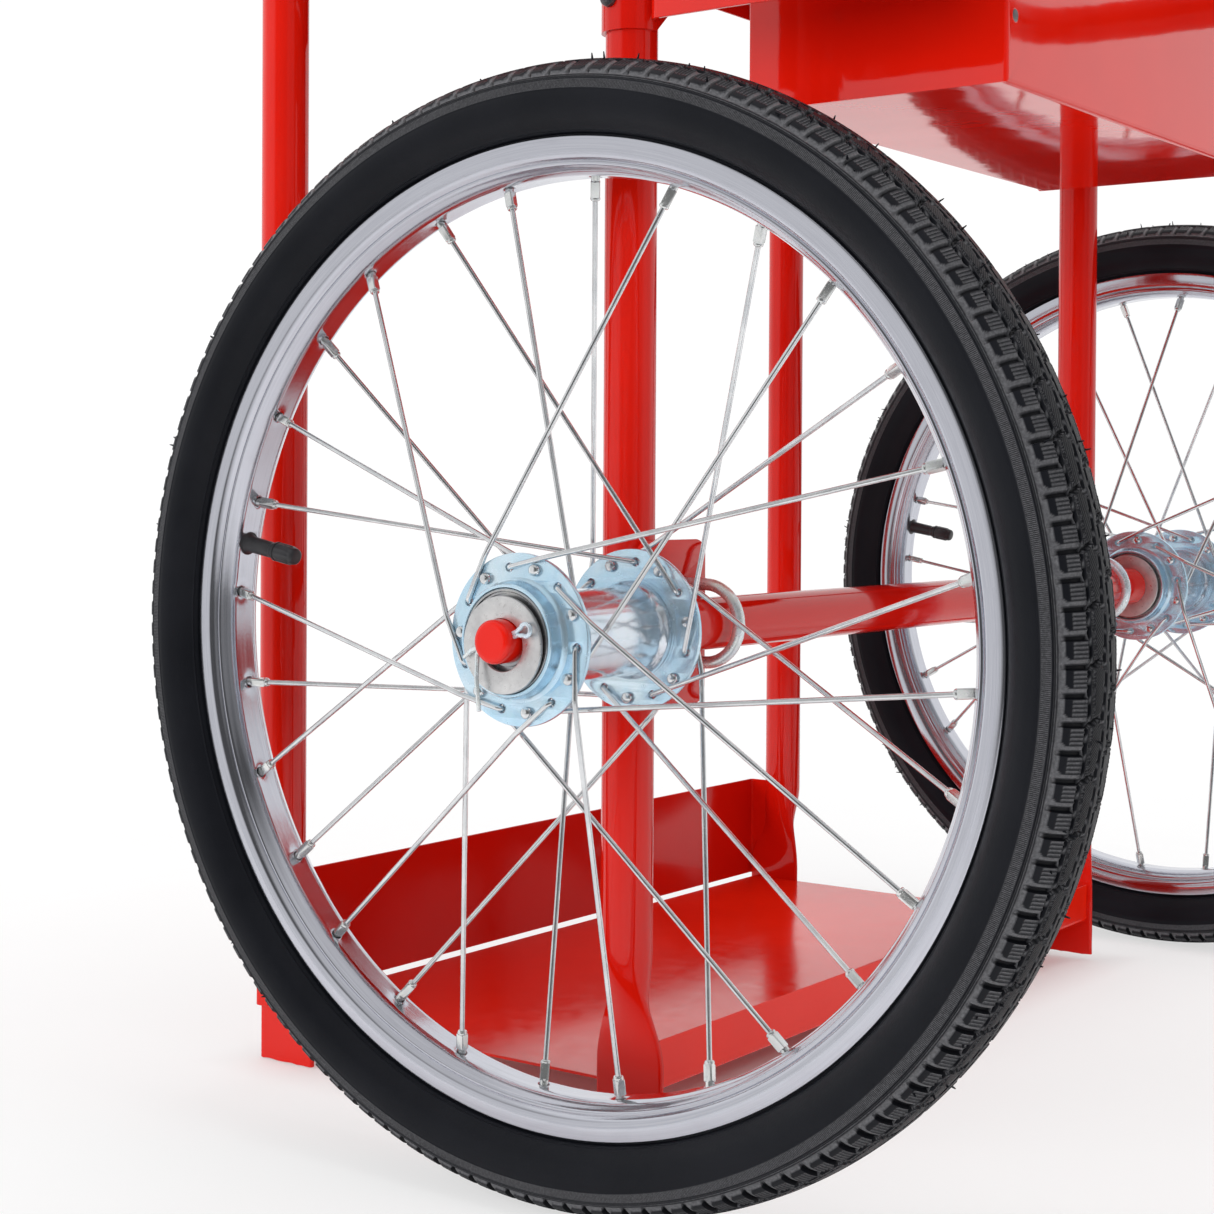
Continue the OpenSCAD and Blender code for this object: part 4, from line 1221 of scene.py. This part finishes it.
def tyre(side):
    at, bead = tread_section()
    part = Build()
    # tread stations: along one block, and across from the crown's middle
    in_block = [0.0, 1.05, 2.1, 2.5, 3.3, 3.75, 4.32, 4.88, 5.35,
                5.92, 6.48, 6.95, 7.52, 8.08, 8.55, 9.12, 9.68, 10.2]
    along = np.array(in_block + [x + BLOCK for x in in_block])
    half = np.concatenate([
        np.arange(0, 8.6, 0.72), np.arange(8.6, 13.9, 0.44), np.arange(13.9, 25.8, 0.66),
        [25.95, 26.35, 26.65, 26.85, 27.2, 27.55, 27.75, 28.1, 28.4]])
    across = np.concatenate([-half[:0:-1], half])
    a = np.concatenate([(k + along / CELL) * 2 * pi / CELLS for k in range(CELLS)])
    depth, worn, chevron = (np.tile(x, (CELLS, 1))
                            for x in tread(*np.meshgrid(along, across, indexing="ij")))
    r, z, nr, nz = at(across)
    arc, s = np.broadcast_arrays(a[:, None] * 250, across[None])
    # the depth attribute paints shade into the grooves
    part.grid(wheel_map(polar(r - depth * nr, a, z - depth * nz)), uv=(arc, s), flip=True,
              depth=np.clip(depth / 2, 0, 1), worn=worn, chevron=chevron,
              tread=np.stack([arc, s, 0 * arc], 2))

    # (radius, wheel z) from the bead round the inside to the crown
    lining = [(217.6, 13.2), (210.3, 12.7), (208.3, 11.5), (208.3, 9.2), (216, 9.8),
              (219.5, 12.1), (225, 19), (231, 21.8), (237, 21.5), (242, 18), (245.5, 13),
              (247, 7), (247.6, 0)]
    for sign in (-1, 1):
        # finely serrated band below the shoulder, with painted highlights on the tooth tops and
        # painted shade in the cuts
        n = 2 * 14 * 146
        tooth = 0.42
        a = full_turn(n)
        s = sign * np.array([28.4, 28.65, 28.9, 32.2, 32.45, 32.7])
        r, z, nr, nz = at(s)
        cut = np.array([0, 0.0, 1, 1, 0.0, 0])[None] * (np.arange(n) % 2)[:, None] * tooth
        band = np.array([0.1, 0.25, 1, 1, 0.25, 0.1])[None]
        part.grid(wheel_map(polar(r - cut * nr, a, z - cut * nz)), flip=sign > 0,
                  uv=(a[:, None] * 240, s[None]),
                  depth=cut * 1.2, worn=band * (1.0 - 0.85 * cut / tooth))
        # plain sidewall with a groove and a raised mould line
        to_bead = np.array([4.4, 4.1, 3.9, 3.7, 3.4, 2.6, 1.6, 0.8, 0])
        s = np.concatenate([[32.7, 33.0, 33.4], np.arange(34, bead - 5, 1.4), bead - to_bead])
        raised = (0.28 * np.exp(-((s - (bead - 3.9)) / 0.28) ** 2)
                  - 0.20 * np.exp(-((s - 33.2) / 0.35) ** 2))
        r, z, nr, nz = at(sign * s)
        a = full_turn(8 * CELLS)
        part.grid(wheel_map(polar((r + raised * nr)[None], a, z + raised * nz)),
                  uv=(a[:, None] * 230, s[None]), flip=sign > 0)
        # bead and inside
        r, z, _, _ = at(sign * bead)
        prof = np.array([(r, abs(z))] + lining)
        part.grid(wheel_map(polar(prof[None, :, 0], full_turn(4 * CELLS), sign * prof[:, 1])),
                  flip=sign > 0)
    mould_hairs(part, at)
    part.make("tyre_treaded_" + side, TYRE, "tyre_" + side, "tyre_rubber", side, smooth=32,
              body="wheel_" + side)


def rim(side):
    """Rolled rim with dimpled spoke holes and a valve hole; a per-vertex attribute marks the holes
    so that the material paints them dark as the shade inside them.
    """
    # stations in degrees from each nipple
    off = np.array([-1.45, -1.1, -0.86, -0.7, -0.58, -0.46, -0.33, -0.16, 0, 0.16, 0.33, 0.46,
                    0.58, 0.7, 0.86, 1.1, 1.45, 2.1, 3.0, 4.2, 5.4, 6.43, 7.5, 8.7, 9.8, 10.7])
    deg = np.concatenate([nipple_angle(i) + off for i in range(SPOKES)])
    a = np.radians(deg)
    # (radius, wheel z): inner face, outward to the lip, and back over the tyre side
    well_z = [0, 0.5, 1.0, 1.5, 2.0, 2.5, 3.0, 3.5, 4.1, 4.8, 5.6]
    half = np.array([(RIM_R, z) for z in well_z] + [
        (202.3, 6.6), (202.9, 7.9), (203.5, 8.9), (204.2, 9.8), (204.9, 10.6), (205.5, 11.4),
        (206.0, 12.15), (206.5, 12.55), (207.0, 12.6), (207.4, 12.35), (207.8, 12.3),
        (208.2, 12.7), (208.7, 13.45), (209.4, 14.15), (210.3, 14.7), (211.4, 15.05),
        (212.8, 15.27), (214.2, 15.35), (215.6, 15.32), (216.8, 15.22), (217.7, 15.1),
        (218.2, 14.95), (218.5, 14.6), (218.45, 14.1), (218.1, 13.85), (216, 13.2),
        (210, 12.4), (208.6, 11.9), (206.4, 9.8), (205, 7.6), (204.1, 5), (204.0, 0.0)])
    full = np.concatenate([half[:-1], half[:0:-1] * [1, -1]])
    p = polar(full[None, :, 0], a, full[None, :, 1])
    # marks where the rim material paints the shade inside the holes
    hole = np.zeros(p.shape[:2])
    well = (full[:, 0] < 203.2)[None] * 1.0

    def around(target, z, reach):
        """Stations within reach degrees of target, and their distances from the hole there."""
        turn = angle_from(deg, target)
        near = np.where(np.abs(turn) < reach)[0]
        return near, np.hypot(np.radians(turn[near])[:, None] * RIM_R, full[None, :, 1] - z)

    for i in range(SPOKES):
        near, dist = around(nipple_angle(i), nipple_z(i), 3)
        dimple = 0.55 * np.exp(-(dist / 3.6) ** 2) + 0.9 * smooth_step(2.7, 1.9, dist)
        outward = p[near][:, :, :2]
        outward = outward / np.linalg.norm(outward, axis=2)[:, :, None]
        p[near, :, :2] += outward * (dimple * well)[:, :, None]
        hole[near] = np.maximum(hole[near], smooth_step(2.75, 2.35, dist) * well)
    near, dist = around(VALVE_A, 0, 4)
    hole[near] = np.maximum(hole[near], smooth_step(5.0, 4.5, dist) * well)
    Build().grid(wheel_map(p), close_v=True, uv=(a[:, None] * 210, run_length(full)[None]),
                 hole=hole).make("rim_rolled_" + side, RIM, "rim_" + side, "rim_aluminium",
                                 side, smooth=40, body="wheel_" + side)


def spokes(side):
    wires, nipples = Build(), Build()
    a = full_turn(32)
    square = np.minimum(2.72, 2.1 / np.cos((a + pi / 4) % (pi / 2) - pi / 4))
    # (distance along the axis, radius)
    head_prof = [(0, 1.0), (0.0, 2.35), (0.25, 2.6), (0.6, 2.5), (1.0, 2.05), (1.3, 1.35),
                 (1.44, 0.6), (1.47, 0.01)]
    nipple_rows = [
        (-10.2, 1.22), (-10.25, 1.7), (-10.15, 1.95), (-9.8, 2.2), (-9.3, 2.28), (-9.0, 2.22),
        (-8.75, 2.12), (-8.55, square * 0.975), (-8.3, square), (-2.0, square),
        (-1.6, square * 0.99), (-1.3, 2.0), (-0.8, 2.0), (2.4, 2.0), (3.4, 3.0), (4.6, 3.0),
        (5.4, 2.0), (5.4, 1.22), (-10.2, 1.22)]
    rng = np.random.default_rng(5)
    for i in range(SPOKES):
        head = on_wheel(FLANGE_HOLES_R, flange_angle(i), HEAD_Z[i % 4])
        start = on_wheel(FLANGE_HOLES_R, flange_angle(i), WIRE_Z[i % 4])
        end = on_wheel(RIM_R, nipple_angle(i), nipple_z(i))
        points, radii, last = [head, start], [2.3], start
        if outside_flange(i):
            # the wire runs along the flange before it bends toward the rim
            d = end - start
            last = start + np.array([d[0], d[1], 0]) / math.hypot(d[0], d[1]) * 23
            points.append(last)
            radii.append(16.0)
        along = (end - last) / np.linalg.norm(end - last)
        path = arc_path(points + [end + along * 0.8], radii, 12)
        sweep(wires, wheel_map(path), WIRE_R, 14)
        d = unit(head - start)
        lathe(wires, wheel_map(head - d * 0.35), wheel_map(head + d) - wheel_map(head),
              head_prof, 24)
        twist = rng.uniform(0, pi / 2)
        nipples.grid(wheel_map(rings(end, along, nipple_rows, a + twist)))
    wires.make("spoke_wires_" + side, SPOKE, "spokes_" + side, "spoke_steel", side, smooth=50,
               body="wheel_" + side)
    nipples.make("spoke_nipples_" + side, NIPPLE, "nipples_" + side, "spoke_steel", side,
                 smooth=28, body="wheel_" + side)


def hub(side):
    body = "wheel_" + side
    # (radius, wheel z)
    shell = [(18.75, -50.45), (22.0, -50.45), (22.5, -49.9), (22.9, -48.6), (22.9, -47.6),
             (22.5, -46.4), (21.6, -44.8), (20.9, -43.4), (20.5, -41.6), (20.45, -38),
             (20.45, 20.6), (20.5, 24.2), (20.9, 26.0), (21.6, 27.4), (22.5, 28.9),
             (22.9, 30.1), (22.9, 31.1), (22.5, 32.4), (22.0, 32.0), (18.75, 32.0)]
    revolve(Build(), shell, 192).make("hub_barrel_" + side, BARREL, "hub_shell_" + side,
                                      "hub_zinc", side, smooth=45, body=body)

    part = Build()
    # collar round each bearing: (radius, distance outward from the flange face)
    collar = [(22.62, -2.4), (26.6, -2.4), (27.2, -0.1), (26.4, 0.25), (25.3, 1.0),
              (24.75, 2.2), (24.45, 4.2), (24.3, 6.6), (24.5, 7.6), (24.5, 8.3), (24.1, 8.8),
              (23.5, 8.95), (23.0, 8.8), (22.7, 8.2), (22.62, 7.4)]
    for face, out, first in ((FLANGE_OUT, 1, 1), (FLANGE_IN, -1, 0)):
        holes = []
        for k in range(SPOKES // 2):
            x, y, _ = on_wheel(FLANGE_HOLES_R, flange_angle(first) + k * 720 / SPOKES, 0)
            holes.append(circle(x, y, 1.95, 22))
        plate(part, circle(0, 0, 37.5, 168), holes + [circle(0, 0, 23.5, 96)], FLANGE_T, 0.55,
              lambda x, y, h: wheel_map((x, y, face + out * (h - FLANGE_T / 2))))
        revolve(part, [(r, face + out * z) for r, z in collar], 160)
    part.make("hub_flange_pair_" + side, HUB, "hub_flanges_" + side, "hub_zinc", side,
              smooth=32, body=body)

    part = Build()
    for z in BEARINGS_Z:
        prof = ([(22.5, z + 0.3), (22.2, z), (17.7, z), (17.5, z + 0.3)] + groove(17.5, 1, z)
                + [(17.5, z + 7.7), (17.7, z + 8)])
        if z > 0:
            prof += [(20.2, z + 8), (20.3, z + 9.3), (20.9, z + 9.35), (21.0, z + 8.4),
                     (21.35, z + 8.4), (21.45, z + 10.0), (22.2, z + 10.1), (22.5, z + 9.8)]
        else:
            prof += [(22.2, z + 8), (22.5, z + 7.7)]
        revolve(part, prof, 128)
    part.make("bearing_cup_rings_" + side, RACE, "bearing_outer_races_" + side,
              "bearing_steel", side, body=body)

    part = Build()
    lat = np.linspace(-pi / 2 + 0.02, pi / 2 - 0.02, 13)
    ball = 2.9 * polar(np.cos(lat)[None], full_turn(20), np.sin(lat)[None])
    for z in BEARINGS_Z:
        for k in range(12):
            part.grid(wheel_map(on_wheel(16, k * 30, z + BEARING_MID) + ball))
    part.make("bearing_ball_rows_" + side, RACE, "bearing_balls_" + side, "bearing_steel", side,
              smooth=0, body=body)


def valve(side):
    centre = wheel_map(np.zeros(3))
    axis = wheel_map(on_wheel(1, VALVE_A, 0)) - centre
    # (distance from the wheel centre, radius)
    stem = [(176, 0.01), (176, 2.6), (176.3, 3.0), (183, 3.0), (183, 3.7), (183.4, 4.0),
            (184.6, 4.0), (185.0, 3.7), (186.0, 3.7), (186.5, 3.95), (195, 4.05), (200, 4.2),
            (201.4, 4.8), (202.1, 6.2), (202.3, 6.6), (202.3, 4.1), (212, 4.1), (212, 7.7),
            (215, 7.9), (215, 0.01)]
    lathe(Build(), centre, axis, stem, 40).make(
        "valve_rubber_stem_" + side, PLASTIC, "valve_stem_" + side, "tube_rubber", side,
        smooth=40, body="wheel_" + side)

    a = full_turn(96)
    rib = 0.22 * smooth_step(-0.3, 0.5, np.cos(a * 12))
    # (distance from the wheel centre, radius, 1 where ribbed)
    cap = [(168.5, 0.01, 0), (168.5, 2.4, 0), (168.7, 3.3, 0), (169.2, 3.9, 0), (170.2, 4.2, 0),
           (171.6, 4.3, 0), (172.0, 4.35, 1), (172.5, 4.6, 1), (180.0, 4.65, 1),
           (180.6, 4.6, 1), (180.9, 4.3, 0), (181.3, 4.3, 0), (181.6, 4.85, 0),
           (182.5, 4.85, 0), (182.8, 4.6, 0), (182.8, 3.1, 0), (175.5, 3.1, 0),
           (175.5, 0.01, 0)]
    rows = [(dist, r + rib * ribbed) for dist, r, ribbed in cap]
    Build().grid(rings(centre, axis, rows, a)).make(
        "valve_dust_cap_" + side, PLASTIC, "valve_cap_" + side, "black_plastic", side,
        smooth=40, body="wheel_" + side)


for side in SIDES:
    tyre(side)
    rim(side)
    spokes(side)
    hub(side)
    valve(side)

# the inner tubes keep their CAD meshes
for side in SIDES:
    mats = frame["nodes"]["inner_tube_" + side].data.materials
    mats.clear()
    mats.append(TUBE)

# turn the faces of every part outward; the tyres only need flipping as a whole
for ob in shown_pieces():
    if "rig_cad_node" in ob or ob.type != "MESH":
        continue
    if ob.name.startswith("tyre_treaded"):
        ob.data.flip_normals()
        continue
    bm = bmesh.new()
    bm.from_mesh(ob.data)
    bmesh.ops.recalc_face_normals(bm, faces=bm.faces)
    bm.to_mesh(ob.data)
    bm.free()


# ------------------------------------------------------------------ stage (metres)
def studio_floor():
    """Pale floor that glows outside the cart's middle, leaving a painted shadow under the tray, and
    fades out with distance.
    """
    m = Material("studio_floor")
    patches = m.cloud(m.mapped(), scale=3, detail=3)
    m.set(base=m.mix(patches, (0.86, 0.86, 0.86), (0.90, 0.90, 0.90)), rough=0.75, spec=0.2)
    position = m.node("NewGeometry").outputs["Position"]
    distance = m.node("VectorMath", {0: position}, operation="LENGTH").outputs["Value"]
    place = m.node("SeparateXYZ", {0: position}).outputs
    # the patch without glow, a painted shadow under the tray, is centred on x = -0.171, y = 0
    outside_x = m.range(m.math("ABSOLUTE", m.math("ADD", place[0], 0.171)), over=(0.085, 0.165))
    outside_y = m.range(m.math("ABSOLUTE", place[1]), over=(0.21, 0.29))
    glow = m.times(m.math("MAXIMUM", outside_x, outside_y), 0.62)
    # reflections see little of the glow
    glossy = m.node("LightPath").outputs["Is Glossy Ray"]
    glow = m.times(glow, m.math("SUBTRACT", 1.0, m.times(glossy, 0.8)))
    emission = m.node("Emission", {"Strength": 1.0}).outputs[0]
    lit = m.mix_shader(glow, m.bsdf.outputs[0], emission)
    clear = m.node("BsdfTransparent").outputs[0]
    fade = m.range(distance, over=(0.75, 1.9))
    m.link(m.mix_shader(fade, lit, clear), m.out.inputs["Surface"])
    return m.mat


def add_floor(half=9, z=-0.0005):
    me = bpy.data.meshes.new("floor")
    me.from_pydata([(-half, -half, z), (half, -half, z), (half, half, z), (-half, half, z)],
                   [], [(0, 1, 2, 3)])
    ob = bpy.data.objects.new("floor", me)
    bpy.context.scene.collection.objects.link(ob)
    me.materials.append(studio_floor())


def area_light(name, location, target, size, power):
    light = bpy.data.lights.new(name, "AREA")
    light.shape, light.energy = "RECTANGLE", power
    light.size, light.size_y = size
    ob = bpy.data.objects.new(name, light)
    ob.location = location
    ob.rotation_mode = "QUATERNION"
    ob.rotation_quaternion = (Vector(target) - Vector(location)).to_track_quat("-Z", "Y")
    bpy.context.scene.collection.objects.link(ob)
    ob.visible_glossy = False


def studio_world():
    """White to the camera; reflections see a bright backdrop and soft boxes, a dark near side."""
    world = bpy.data.worlds.new("studio")
    bpy.context.scene.world = world
    w = Nodes(world)
    generated = w.node("TexCoord").outputs["Generated"]

    def patch(toward, over, to):
        """Brightness by how closely a ray points toward a direction."""
        inputs = {0: generated, 1: Vector(toward).normalized()}
        dot = w.node("VectorMath", inputs, operation="DOT_PRODUCT").outputs["Value"]
        return w.range(dot, over, to, kind="SMOOTHSTEP")

    # directions as the camera sees them
    backdrop = patch((-0.591, 0.807, 0.0), over=(-0.35, 0.35), to=(0.10, 1.0))
    far_right = patch((0.75, 0.65, 0.0), over=(0.55, 0.90), to=(0.0, 0.62))
    near_left = patch((-0.66, -0.74, 0.10), over=(0.74, 0.93), to=(0.0, 0.80))
    near_right = patch((0.95, -0.30, 0.10), over=(0.86, 0.97), to=(0.0, 0.25))
    above = patch((0, 0, 1), over=(0.35, 0.85), to=(0.0, 0.70))
    far = w.math("MAXIMUM", backdrop, far_right)
    gloss = w.math("MAXIMUM", w.math("MAXIMUM", far, near_left),
                   w.math("MAXIMUM", near_right, above))
    rays = w.node("LightPath").outputs
    diffuse = rays["Is Diffuse Ray"]
    strength = w.math("ADD", w.times(gloss, w.math("SUBTRACT", 1.0, diffuse)),
                      w.times(diffuse, 0.55))
    white = (1, 1, 1)
    seen = w.node("Background", {"Color": white, "Strength": 1.03}).outputs[0]
    cast = w.node("Background", {"Color": white, "Strength": strength}).outputs[0]
    both = w.mix_shader(rays["Is Camera Ray"], cast, seen)
    w.link(both, w.node("OutputWorld").inputs[0])


def add_camera():
    heading, pitch, roll = (math.radians(d) for d in (36.23, 0.78, 0.33))
    forward = Vector((-math.sin(heading) * math.cos(pitch),
                      math.cos(heading) * math.cos(pitch), -math.sin(pitch)))
    right = Vector((math.cos(heading), math.sin(heading), 0))
    up = right.cross(forward)
    c, s = math.cos(roll), math.sin(roll)
    matrix = Matrix((right * c + up * s, up * c - right * s, -forward)).transposed().to_4x4()
    matrix.translation = Vector(((593.70 - ORIGIN_X) * MM, -1.0979, 0.31893))
    cam = bpy.data.cameras.new("camera")
    cam.lens, cam.sensor_width = 62.84, 36.0
    cam.shift_x, cam.shift_y = 0.00618, -0.07517
    cam.clip_start, cam.clip_end = 0.05, 60
    ob = bpy.data.objects.new("camera", cam)
    ob.matrix_world = matrix
    bpy.context.scene.collection.objects.link(ob)
    bpy.context.scene.camera = ob


add_floor()
area_light("key_left", location=(-3.2, -4.25, 2.4), target=(0, 0, 0.3), size=(2.6, 3.2),
           power=104)
area_light("front", location=(1.0, -4.9, 0.55), target=(0, 0, 0.45), size=(3.0, 1.5), power=108)
area_light("fill_right", location=(2.7, -0.6, 1.3), target=(0, 0, 0.3), size=(1.0, 1.6), power=8)
area_light("top", location=(0.1, 0.2, 2.8), target=(0, 0, 0.2), size=(2.2, 2.2), power=46)
studio_world()
view = bpy.context.scene.view_settings
view.view_transform = "Standard"
view.look = "None"
view.exposure = 0.0
add_camera()
